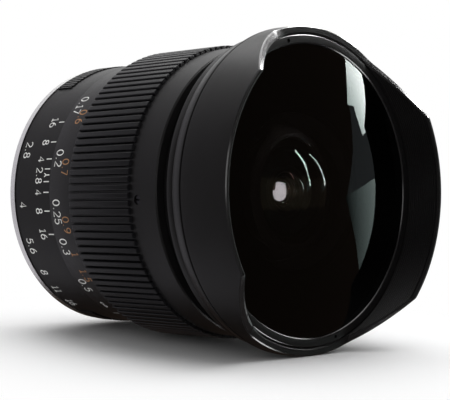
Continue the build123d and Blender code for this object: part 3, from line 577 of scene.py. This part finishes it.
base_ring = turned_ring(
    "hood_base_turned",
    (
        (GLASS_TUBE_RADIUS, LIP_REAR),
        (BEAD_RADIUS - BEAD_CHAMFER, LIP_REAR),
        (BEAD_RADIUS, LIP_REAR + BEAD_CHAMFER),
        (BEAD_RADIUS, LIP_REAR + 1.85),
        (BEAD_GROOVE_RADIUS, LIP_REAR + 1.98),
        (BEAD_GROOVE_RADIUS, LIP_REAR + 2.16),
        (FLARE_FOOT_RADIUS, LIP_REAR + 2.3),
        (HOOD_RADIUS, LIP_FRONT - 0.35),
        (HOOD_RADIUS, LIP_FRONT),
        (GLASS_TUBE_RADIUS, LIP_FRONT),
    ),
    hood_black, "optics", corner=0.07,
)
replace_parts(base_ring, "hood_base_ring")

RING_LIP_RADIUS = 32.4
OUTER_CHAMFER = 0.22
INNER_CHAMFER = 0.24
SPANNER_HOLE_RADIUS = 0.45
SPANNER_HOLE_CIRCLE = 32.85
SPANNER_HOLE_ANGLE = 110.6

front_ring = turned_ring(
    "front_ring_turned",
    (
        (RING_INNER, 66.93),
        (RING_LIP_RADIUS, 66.80),
        (RING_LIP_RADIUS, RING_SEAT),
        (RING_OUTER, RING_SEAT),
        (RING_OUTER, RING_FRONT - OUTER_CHAMFER),
        (RING_OUTER - OUTER_CHAMFER, RING_FRONT),
        (RING_INNER + INNER_CHAMFER, RING_FRONT),
        (RING_INNER, RING_FRONT - INNER_CHAMFER),
    ),
    hood_black, "optics", corner=0.03,
)


def spanner_hole_drill():
    """Two pins across from each other, 1.2 mm long, half of it in the ring's front face."""
    pins = bmesh.new()
    radius = SPANNER_HOLE_RADIUS * MM
    bmesh.ops.create_cone(pins, cap_ends=True, segments=24, radius1=radius, radius2=radius, depth=1.2 * MM)
    along_axis = Matrix.Rotation(pi / 2, 3, "X")
    round_axis = Matrix.Rotation(-radians(SPANNER_HOLE_ANGLE), 3, "Y")
    bmesh.ops.rotate(pins, verts=pins.verts[:], cent=(0, 0, 0), matrix=along_axis)
    bmesh.ops.translate(pins, verts=pins.verts[:], vec=(SPANNER_HOLE_CIRCLE * MM, -RING_FRONT * MM, 0))
    bmesh.ops.rotate(pins, verts=pins.verts[:], cent=(0, 0, 0), matrix=round_axis)
    bmesh.ops.spin(
        pins, geom=pins.verts[:] + pins.edges[:] + pins.faces[:], cent=(0, 0, 0), axis=(0, 1, 0),
        angle=2 * pi, steps=2, use_merge=False, use_duplicate=True,
    )
    bmesh.ops.remove_doubles(pins, verts=pins.verts[:], dist=0.000001)
    mesh = bpy.data.meshes.new("spanner_hole_drill")
    pins.to_mesh(mesh)
    pins.free()
    return mesh


def cut_with(piece, cutter_mesh):
    """Cuts the cutter's shape out of a piece and keeps the result as its mesh."""
    cutter = bpy.data.objects.new("cutter", cutter_mesh)
    bpy.context.scene.collection.objects.link(cutter)
    modifier = piece.modifiers.new("cut", "BOOLEAN")
    modifier.operation = "DIFFERENCE"
    modifier.solver = "EXACT"
    modifier.object = cutter
    bpy.context.view_layer.update()
    evaluated = piece.evaluated_get(bpy.context.evaluated_depsgraph_get())
    result = bpy.data.meshes.new_from_object(evaluated)
    piece.modifiers.remove(modifier)
    piece.data = result
    bpy.data.objects.remove(cutter)


cut_with(front_ring, spanner_hole_drill())
crisp_edges(front_ring, -1)
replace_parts(front_ring, "front_retaining_ring")


# Petal hood: turned at full height, then let down to the line of the cut-outs

CUT_START = 20.6
CUT_END = 31.4
TIP_BLEND = 0.3
ROOT_BLEND = 0.8
TAPER_START = RIM - 0.8
HOOD_BORE = RING_OUTER + 0.05
HOOD_SEAT = 65.99
TIP_CHAMFER = 0.2
INNER_SLOPE_WIDTH = 0.5
INNER_SLOPE_DROP = 0.34
RIDGE_PITCH = 0.55
RIDGE_DEPTH = 0.09
RIDGE_FLANK = 0.12


def cut_line(height):
    """The station of the hood's edge at a height above or below the axis."""
    slope = (PETAL_TIP - RIM) / (CUT_END - CUT_START)
    if height <= CUT_START - TIP_BLEND:
        return PETAL_TIP
    if height <= CUT_START + TIP_BLEND:
        return PETAL_TIP - slope * (height - CUT_START + TIP_BLEND) ** 2 / (4 * TIP_BLEND)
    if height <= CUT_END - ROOT_BLEND:
        return PETAL_TIP - slope * (height - CUT_START)
    if height <= CUT_END + ROOT_BLEND:
        return RIM + slope * (CUT_END + ROOT_BLEND - height) ** 2 / (4 * ROOT_BLEND)
    return RIM


def outer_radius(station):
    """The hood's outside, which narrows evenly to the petal tips."""
    if station <= TAPER_START:
        return HOOD_RADIUS
    narrowing = HOOD_RADIUS - PETAL_TIP_RADIUS
    return HOOD_RADIUS - narrowing * (station - TAPER_START) / (PETAL_TIP - TAPER_START)


def hood_outline():
    """The hood's section at full height, with the fine ridges on the inside of the petals."""
    ridges = []
    station = PETAL_TIP - 0.75
    while station > RIM + 0.4:
        ridges.append((HOOD_BORE, station))
        ridges.append((HOOD_BORE + RIDGE_DEPTH, station - RIDGE_FLANK))
        ridges.append((HOOD_BORE + RIDGE_DEPTH, station - 2 * RIDGE_FLANK))
        ridges.append((HOOD_BORE, station - RIDGE_PITCH + RIDGE_FLANK))
        station -= RIDGE_PITCH
    return [
        (GLASS_TUBE_RADIUS, HOOD_REAR),
        (HOOD_RADIUS - 0.1, HOOD_REAR),
        (HOOD_RADIUS, HOOD_REAR + 0.1),
        (HOOD_RADIUS, TAPER_START),
        (PETAL_TIP_RADIUS, PETAL_TIP - TIP_CHAMFER),
        (PETAL_TIP_RADIUS - TIP_CHAMFER, PETAL_TIP),
        (HOOD_BORE + INNER_SLOPE_WIDTH, PETAL_TIP),
        (HOOD_BORE, PETAL_TIP - INNER_SLOPE_DROP),
        *ridges,
        (HOOD_BORE, RIM - 0.45),
        (HOOD_BORE, HOOD_SEAT),
        (GLASS_TUBE_RADIUS, HOOD_SEAT),
    ]


def petal_hood():
    """The hood, let down to its cut line. The edge's own points move with it, the wall's stop below it."""
    bm = spin_outline(hood_outline(), 720)
    for vert in bm.verts:
        station = -vert.co.y / MM
        if station < RIM - 0.5:
            continue
        radius = hypot(vert.co.x, vert.co.z) / MM
        top = cut_line(abs(vert.co.z) / MM)
        if station > PETAL_TIP - 0.4:
            moved = station - (PETAL_TIP - top)
        else:
            moved = min(station, top - INNER_SLOPE_DROP)
        if radius > PETAL_TIP_RADIUS - 0.4:
            moved_radius = radius + outer_radius(moved) - PETAL_TIP_RADIUS
        else:
            moved_radius = radius
        vert.co.x *= moved_radius / radius
        vert.co.z *= moved_radius / radius
        vert.co.y = -moved * MM
    bmesh.ops.remove_doubles(bm, verts=bm.verts[:], dist=0.000004)
    bmesh.ops.recalc_face_normals(bm, faces=bm.faces[:])
    return bm


hood_mesh = finish_mesh(petal_hood(), "petal_hood_turned", 14)
hood = add_object("petal_hood_turned", hood_mesh, hood_black, "optics")
crisp_edges(hood, -0.2)
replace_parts(hood, "petal_hood")


# Engraved numerals and ticks, filled with paint

def stroke_arc(cx, cy, rx, ry, start, end, count=14):
    return [
        (cx + rx * cos(radians(start + (end - start) * step / count)),
         cy + ry * sin(radians(start + (end - start) * step / count)))
        for step in range(count + 1)
    ]


# Each figure stands in a box 0.6 wide and 1 high, as lists of points along its strokes.
figures = {
    "0": (0.62, [stroke_arc(0.31, 0.5, 0.27, 0.5, 90, 450, 28)]),
    "1": (0.46, [[(0.06, 0.82), (0.24, 1.0), (0.24, 0.0)], [(0.05, 0.0), (0.43, 0.0)]]),
    "2": (0.60, [stroke_arc(0.29, 0.72, 0.25, 0.28, 165, -35) + [(0.05, 0.0), (0.56, 0.0)]]),
    "3": (0.58, [
        stroke_arc(0.27, 0.75, 0.22, 0.25, 150, -90),
        stroke_arc(0.27, 0.26, 0.25, 0.26, 90, -150),
    ]),
    "4": (0.62, [[(0.44, 0.0), (0.44, 1.0), (0.04, 0.28), (0.6, 0.28)]]),
    "5": (0.58, [[(0.5, 1.0), (0.12, 1.0), (0.08, 0.56)] + stroke_arc(0.27, 0.32, 0.26, 0.31, 125, -150)]),
    "6": (0.60, [stroke_arc(0.3, 0.3, 0.25, 0.3, 90, 450, 24), stroke_arc(0.47, 0.32, 0.42, 0.68, 100, 180)]),
    "7": (0.56, [[(0.04, 1.0), (0.52, 1.0), (0.2, 0.0)]]),
    "8": (0.60, [
        stroke_arc(0.3, 0.76, 0.2, 0.24, 90, 450, 24),
        stroke_arc(0.3, 0.26, 0.25, 0.26, 90, 450, 24),
    ]),
    "9": (0.60, [stroke_arc(0.3, 0.7, 0.25, 0.3, 90, 450, 24), stroke_arc(0.13, 0.68, 0.42, 0.68, -80, 0)]),
    ".": (0.3, [[(0.14, 0.0), (0.14, 0.1)]]),
    "infinity": (1.1, [
        [(0.55 + 0.45 * cos(radians(turn)), 0.5 + 0.36 * sin(radians(turn)) * cos(radians(turn)))
         for turn in range(0, 361, 12)]
    ]),
}


def stroke_mesh(strokes, width, name):
    """Flat strokes with round ends, as a mesh in the plane of the figure."""
    curve = bpy.data.curves.new(name, "CURVE")
    curve.dimensions = "3D"
    curve.bevel_depth = width / 2 * MM
    curve.bevel_resolution = 1
    curve.use_fill_caps = True
    for stroke in strokes:
        spline = curve.splines.new("POLY")
        spline.points.add(len(stroke) - 1)
        for point, (across, up) in zip(spline.points, stroke):
            point.co = (across * MM, up * MM, 0, 1)
    holder = bpy.data.objects.new(name, curve)
    bpy.context.scene.collection.objects.link(holder)
    bpy.context.view_layer.update()
    mesh = bpy.data.meshes.new_from_object(holder.evaluated_get(bpy.context.evaluated_depsgraph_get()))
    bpy.data.objects.remove(holder)
    return mesh


def engrave(name, marks, radius, material, body):
    """Strokes laid on a ring. Each mark has its turn above the index, its station and its strokes.

    A stroke's first measure runs down round the ring and its second towards the front.
    """
    bm = bmesh.new()
    for relative, station, strokes, width in marks:
        piece = stroke_mesh(strokes, width, name)
        part = bmesh.new()
        part.from_mesh(piece)
        for vert in part.verts:
            across, up, lift = (value / MM for value in vert.co)
            angle = radians(INDEX_ANGLE - relative) + across / radius
            height = radius + 0.012 + lift * 0.16
            vert.co = (height * cos(angle) * MM, -(station + up) * MM, height * sin(angle) * MM)
        placed = bpy.data.meshes.new("mark")
        part.to_mesh(placed)
        part.free()
        bm.from_mesh(placed)
        bpy.data.meshes.remove(placed)
        bpy.data.meshes.remove(piece)
    bmesh.ops.recalc_face_normals(bm, faces=bm.faces[:])
    return add_object(name, finish_mesh(bm, name, 60), material, body)


def word(text, height, spacing=0.12):
    """The strokes of a row of figures, centred on its own middle."""
    letters = ["infinity"] if text == "infinity" else list(text)
    strokes = []
    pen = 0.0
    for letter in letters:
        advance, lines = figures[letter]
        for line in lines:
            strokes.append([((pen + across) * height, (up - 0.5) * height) for across, up in line])
        pen += advance + spacing
    middle = (pen - spacing) * height / 2
    return [[(across - middle, up) for across, up in line] for line in strokes]


STROKE_WIDTH = 0.27
TICK_WIDTH = 0.25
APERTURE_ROW = 4.8
DEPTH_NUMBER_ROW = 10.9
DEPTH_TICK_ROW = 13.8
METRE_ROW = 17.5
FOOT_ROW = 20.2
APERTURE_RING_RADIUS = 31.0
SCALE_RING_RADIUS = 31.1

# Each mark's angle is its turn above the index line at rest.
aperture_marks = [
    (relative, APERTURE_ROW, word(text, 2.3), STROKE_WIDTH)
    for text, relative in (
        ("2.8", 11.5), ("4", -12.6), ("5.6", -31.0), ("8", -44.5), ("11", -54.8), ("16", -65.1)
    )
]
engrave("aperture_numerals", aperture_marks, APERTURE_RING_RADIUS, white_paint, "aperture")

tick = [[(0.0, -0.95), (0.0, 0.95)]]
index_fork = [[(0.0, 0.95), (0.0, -0.25)], [(0.0, -0.25), (-0.42, -0.95)], [(0.0, -0.25), (0.42, -0.95)]]
depth_marks = [
    (turn, DEPTH_TICK_ROW, tick, TICK_WIDTH)
    for turn in (24.1, 14.5, 6.9, 2.6, -2.8, -7.3, -15.2, -25.3)
]
depth_marks.append((0.0, DEPTH_TICK_ROW, index_fork, TICK_WIDTH))
depth_marks += [
    (relative, DEPTH_NUMBER_ROW, word(text, 2.15), STROKE_WIDTH)
    for text, relative in (
        ("16", 24.1), ("8", 14.5), ("4", 6.9), ("2.8", -0.1), ("4", -7.3), ("8", -15.2), ("16", -25.3)
    )
]
engrave("depth_scale_marks", depth_marks, SCALE_RING_RADIUS, white_paint, "barrel")

metre_marks = [
    (relative, METRE_ROW, word(text, 2.3), STROKE_WIDTH)
    for text, relative in (
        ("0.17", 32.7), ("0.2", 7.0), ("0.25", -15.6), ("0.3", -30.8), ("0.5", -50.7), ("infinity", -64.2)
    )
]
metre_marks.append((-72.2, METRE_ROW, tick, TICK_WIDTH))
engrave("metre_numerals", metre_marks, SCALE_BAND_RADIUS, white_paint, "focus")
foot_marks = [
    (relative, FOOT_ROW, word(text, 2.2), STROKE_WIDTH)
    for text, relative in (("0.6", 26.1), ("0.7", 3.1), ("0.9", -21.1), ("1", -34.3), ("1.5", -45.0))
]
engrave("foot_numerals", foot_marks, SCALE_BAND_RADIUS, orange_paint, "focus")


# Floor, backdrop, lamps and camera

FLOOR_UP = Vector((-0.13144, -0.0579, 0.98964)).normalized()
FLOOR_DEPTH = -31.85
LENS_MIDDLE = Vector((0, -0.04, 0))
CAMERA_PLACE = Vector((-0.223508, -0.266659, -0.032643))
CAMERA_BACK = -Vector((0.69985, 0.70774, 0.09650))
CAMERA_UP = Vector((-0.13052, -0.00611, 0.99143))


def upright(direction, up):
    """Axes with local Z along a direction and local Y as near to up as it can be."""
    back = direction.normalized()
    side = up.cross(back).normalized()
    return Matrix((side, back.cross(side), back)).transposed()


def seen_rays(tree):
    """1 for rays that the camera sees straight, mirrored or through glass, and 0 for those that light."""
    path = tree.nodes.new("ShaderNodeLightPath")
    seen = math_node(tree, "MAXIMUM", path.outputs["Is Camera Ray"], path.outputs["Is Glossy Ray"])
    return math_node(tree, "MAXIMUM", seen, path.outputs["Is Transmission Ray"])


def floor_material():
    """Pale paper, lit by the lamps near the lens. For camera, mirror and glass rays a white glow is mixed in,
    more with the distance from the lens: painted light over the floor's real shading, which cuts the lens's
    shadow short.
    """
    material = bpy.data.materials.new("pale_floor_painted_white_fade")
    material.use_nodes = True
    tree = material.node_tree
    shader = tree.nodes["Principled BSDF"]
    shader.inputs["Roughness"].default_value = 0.85
    shader.inputs["Specular IOR Level"].default_value = 0.1
    place = tree.nodes.new("ShaderNodeTexCoord").outputs["Object"]
    fibres = noise_node(tree, place, 900.0, 3.0)
    paper = mix_colour(tree, fibres, (0.92, 0.92, 0.925), (0.95, 0.95, 0.955))
    tree.links.new(paper, shader.inputs["Base Color"])
    length = tree.nodes.new("ShaderNodeVectorMath")
    length.operation = "LENGTH"
    tree.links.new(place, length.inputs[0])
    # Painted light: a white glow starts 3.4 cm from the point under the lens and is full at 8.8 cm, which
    # fades out the lens's real shadow.
    painted_white_share = spread(tree, length.outputs["Value"], 0.034, 0.088)
    glow = tree.nodes.new("ShaderNodeEmission")
    glow.inputs["Color"].default_value = (1.0, 1.0, 1.0, 1.0)
    blend = tree.nodes.new("ShaderNodeMixShader")
    tree.links.new(math_node(tree, "MULTIPLY", painted_white_share, seen_rays(tree)), blend.inputs[0])
    tree.links.new(shader.outputs[0], blend.inputs[1])
    tree.links.new(glow.outputs[0], blend.inputs[2])
    tree.links.new(blend.outputs[0], tree.nodes["Material Output"].inputs["Surface"])
    return material


bm = bmesh.new()
bmesh.ops.create_grid(bm, x_segments=8, y_segments=8, size=3.0)
floor_mesh = bpy.data.meshes.new("studio_floor")
bm.to_mesh(floor_mesh)
bm.free()
floor_mesh.materials.append(floor_material())
floor = bpy.data.objects.new("studio_floor", floor_mesh)
floor_place = upright(FLOOR_UP, Vector((0, 1, 0))).to_4x4()
floor_place.translation = FLOOR_UP * FLOOR_DEPTH * MM + LENS_MIDDLE - FLOOR_UP * FLOOR_UP.dot(LENS_MIDDLE)
floor.matrix_world = floor_place
floor.visible_glossy = False
floor.visible_transmission = False
bpy.context.scene.collection.objects.link(floor)

world = bpy.data.worlds.new("studio")
bpy.context.scene.world = world
world.use_nodes = True
tree = world.node_tree
background = tree.nodes["Background"]
background.inputs["Color"].default_value = (1.0, 1.0, 1.0, 1.0)
tree.links.new(spread(tree, seen_rays(tree), 0.0, 1.0, 0.42, 1.0), background.inputs["Strength"])


def softbox(name, direction, distance, width, height, power):
    """A soft lamp that looks at the lens's middle from a direction."""
    data = bpy.data.lights.new(name, "AREA")
    data.shape = "RECTANGLE"
    data.size = width
    data.size_y = height
    data.energy = power
    lamp = bpy.data.objects.new(name, data)
    towards = Vector(direction).normalized()
    place = upright(towards, FLOOR_UP).to_4x4()
    place.translation = LENS_MIDDLE + towards * distance
    lamp.matrix_world = place
    lamp.visible_camera = False
    lamp.visible_transmission = False
    bpy.context.scene.collection.objects.link(lamp)


def cloth_material(name, glow):
    """Woven black cloth, with an even glow of the colour that it shows in reflections."""
    material = bpy.data.materials.new(name)
    material.use_nodes = True
    tree = material.node_tree
    shader = tree.nodes["Principled BSDF"]
    place = tree.nodes.new("ShaderNodeTexCoord").outputs["Object"]
    weave = noise_node(tree, place, 400.0, 2.0)
    threads = mix_colour(tree, weave, (0.004, 0.004, 0.005), (0.008, 0.008, 0.009))
    tree.links.new(threads, shader.inputs["Base Color"])
    shader.inputs["Roughness"].default_value = 0.95
    shader.inputs["Specular IOR Level"].default_value = 0.0
    shader.inputs["Emission Color"].default_value = (*glow, 1.0)
    shader.inputs["Emission Strength"].default_value = 1.0
    return material


def hide_from_light(piece, in_mirrors, through_glass):
    """Leaves a screen or card only for reflections, refractions or both."""
    piece.visible_camera = False
    piece.visible_diffuse = False
    piece.visible_shadow = False
    piece.visible_glossy = in_mirrors
    piece.visible_transmission = through_glass


def cloth_screen(name, keep_face, glow, in_mirrors=True, through_glass=True):
    """A cloth screen that the camera doesn't see: part of a sphere round the lens."""
    bm = bmesh.new()
    bmesh.ops.create_uvsphere(bm, u_segments=96, v_segments=64, radius=1.6)
    away = [face for face in bm.faces if not keep_face(face.calc_center_median().normalized())]
    bmesh.ops.delete(bm, geom=away, context="FACES")
    mesh = bpy.data.meshes.new(name)
    bm.to_mesh(mesh)
    bm.free()
    mesh.materials.append(cloth_material(name + "_cloth", glow))
    screen = bpy.data.objects.new(name, mesh)
    hide_from_light(screen, in_mirrors, through_glass)
    bpy.context.scene.collection.objects.link(screen)


def on_camera_side(direction):
    """All in front of the lens and to its left up to the overhead softbox, and the low part behind it."""
    lift = direction.dot(FLOOR_UP)
    if direction.x > 0.2 and direction.y > 0 and lift < -0.1:
        return True
    if direction.y > 0 and lift > 0.72:
        return False
    if direction.y < 0 and lift > 0.8:
        return False
    return direction.dot(CAMERA_BACK.normalized()) > (-0.62 if direction.x > 0 else 0.1)


def on_back_left(direction):
    """The grey wall behind the lens on its left, from the table up to the overhead softbox."""
    lift = direction.dot(FLOOR_UP)
    return lift < 0.62 and direction.x < 0.2 and not on_camera_side(direction)


def above_or_below(direction):
    """What only the inner faces of the lens elements would show, besides the white backdrop."""
    return abs(direction.dot(FLOOR_UP)) > 0.35


cloth_screen("dark_side_flag", on_camera_side, (0.04, 0.027, 0.02))
cloth_screen("grey_back_wall", on_back_left, (0.68, 0.66, 0.71), through_glass=False)
cloth_screen("inner_dark_flag", above_or_below, (0.0, 0.0, 0.0), in_mirrors=False)
softbox("overhead_softbox", (0.12, 0.10, 1.0), 0.9, 1.1, 0.9, 8.0)


def aim(azimuth, elevation):
    """A direction from its turn from the front towards +X and its height over the floor, in degrees."""
    ahead = Vector((0, -1, 0))
    ahead = (ahead - FLOOR_UP * ahead.dot(FLOOR_UP)).normalized()
    side = FLOOR_UP.cross(ahead)
    turn, rise = radians(azimuth), radians(elevation)
    level = ahead * cos(turn) + side * sin(turn)
    return level * cos(rise) + FLOOR_UP * sin(rise)


def glow_card(name, corners, along, low, high, strengths, colours, in_mirrors=True, through_glass=False):
    """A lit card that the camera doesn't see. Its light grows along a direction, from low to high.

    The corners are pairs of turn and height for aim, and stand 1.4 m away.
    """
    material = bpy.data.materials.new(name)
    material.use_nodes = True
    tree = material.node_tree
    tree.nodes.remove(tree.nodes["Principled BSDF"])
    place = tree.nodes.new("ShaderNodeTexCoord").outputs["Object"]
    rise = tree.nodes.new("ShaderNodeVectorMath")
    rise.operation = "DOT_PRODUCT"
    tree.links.new(place, rise.inputs[0])
    rise.inputs[1].default_value = along
    share = spread(tree, rise.outputs["Value"], low, high)
    glow = tree.nodes.new("ShaderNodeEmission")
    tree.links.new(mix_colour(tree, share, *colours), glow.inputs["Color"])
    tree.links.new(spread(tree, share, 0.0, 1.0, *strengths), glow.inputs["Strength"])
    tree.links.new(glow.outputs[0], tree.nodes["Material Output"].inputs["Surface"])
    bm = bmesh.new()
    bm.faces.new([bm.verts.new(aim(*corner) * 1.4) for corner in corners])
    bmesh.ops.triangulate(bm, faces=bm.faces[:])
    mesh = bpy.data.meshes.new(name)
    bm.to_mesh(mesh)
    bm.free()
    mesh.materials.append(material)
    card = bpy.data.objects.new(name, mesh)
    hide_from_light(card, in_mirrors, through_glass)
    bpy.context.scene.collection.objects.link(card)


WHITE = (1.0, 1.0, 1.0)
PALE_GREEN = (0.78, 0.92, 0.88)

glow_card(
    "side_softbox_face",
    (
        (68, 34), (64, 25), (61.3, 20.2), (57.9, 14.8), (59.8, 13.8), (61.0, 7.5), (66.2, 10.5), (78, 20),
        (82, 34),
    ),
    aim(100, 20), 1.04, 1.19, (2.6, 13.0), (PALE_GREEN, WHITE),
)
glow_card(
    "side_softbox_inside",
    ((68, 8), (76, 8), (88, 58), (70, 58)),
    FLOOR_UP, 0.0, 0.8, (12.0, 12.0), (WHITE, WHITE), in_mirrors=False, through_glass=True,
)
glow_card(
    "hood_edge_lamp",
    ((75, 22), (84, 38), (108, 38.5), (108, 52), (75, 52)),
    FLOOR_UP, 0.5, 0.6, (42.0, 42.0), (WHITE, WHITE),
)
glow_card(
    "ring_line_card",
    ((108, 22), (124, 10), (124, 34), (109, 34)),
    FLOOR_UP, 0.5, 0.6, (14.0, 14.0), (WHITE, WHITE),
)
glow_card(
    "low_white_board",
    ((53.5, 1.7), (57, -2), (61.5, -10.1), (64, -16), (90, -16), (90, 6), (68.4, 4.7)),
    aim(138, 14), 0.14, 0.52, (0.03, 2.5), ((0.65, 0.82, 0.80), (0.84, 0.96, 0.93)),
)
glow_card(
    "dim_far_wall",
    (
        (58.6, 14.8), (57, 8), (54.1, 1.7), (68.4, 4.7), (78, 6), (78, 18), (67.2, 10.5), (62.8, 7.5),
        (61.1, 13.8),
    ),
    FLOOR_UP, 0.0, 0.4, (0.18, 0.18), ((0.8, 0.85, 0.9), (0.8, 0.85, 0.9)), through_glass=True,
)
glow_card(
    "floor_glow",
    ((54, -46), (40, -46), (10, -44), (10, -62), (40, -66), (54, -62)),
    FLOOR_UP, -1.0, 0.0, (10.0, 10.0), (WHITE, WHITE),
)
glow_card(
    "camera_side_card",
    ((-60, 0), (-34, 0), (-34, 22), (-60, 22)),
    FLOOR_UP, 0.0, 0.4, (2.4, 2.4), (WHITE, WHITE),
)

camera_data = bpy.data.cameras.new("photo_camera")
camera_data.sensor_fit = "HORIZONTAL"
camera_data.sensor_width = 36.0
camera_data.lens = 111.1
camera_data.clip_start = 0.01
camera_data.clip_end = 20.0
camera = bpy.data.objects.new("photo_camera", camera_data)
camera_frame = upright(CAMERA_BACK, CAMERA_UP).to_4x4()
camera_frame.translation = CAMERA_PLACE
camera.matrix_world = camera_frame
bpy.context.scene.collection.objects.link(camera)
bpy.context.scene.camera = camera

scene = bpy.context.scene
scene.view_settings.view_transform = "Standard"
scene.cycles.max_bounces = 32
scene.cycles.transmission_bounces = 32
scene.cycles.glossy_bounces = 8
scene.cycles.diffuse_bounces = 4
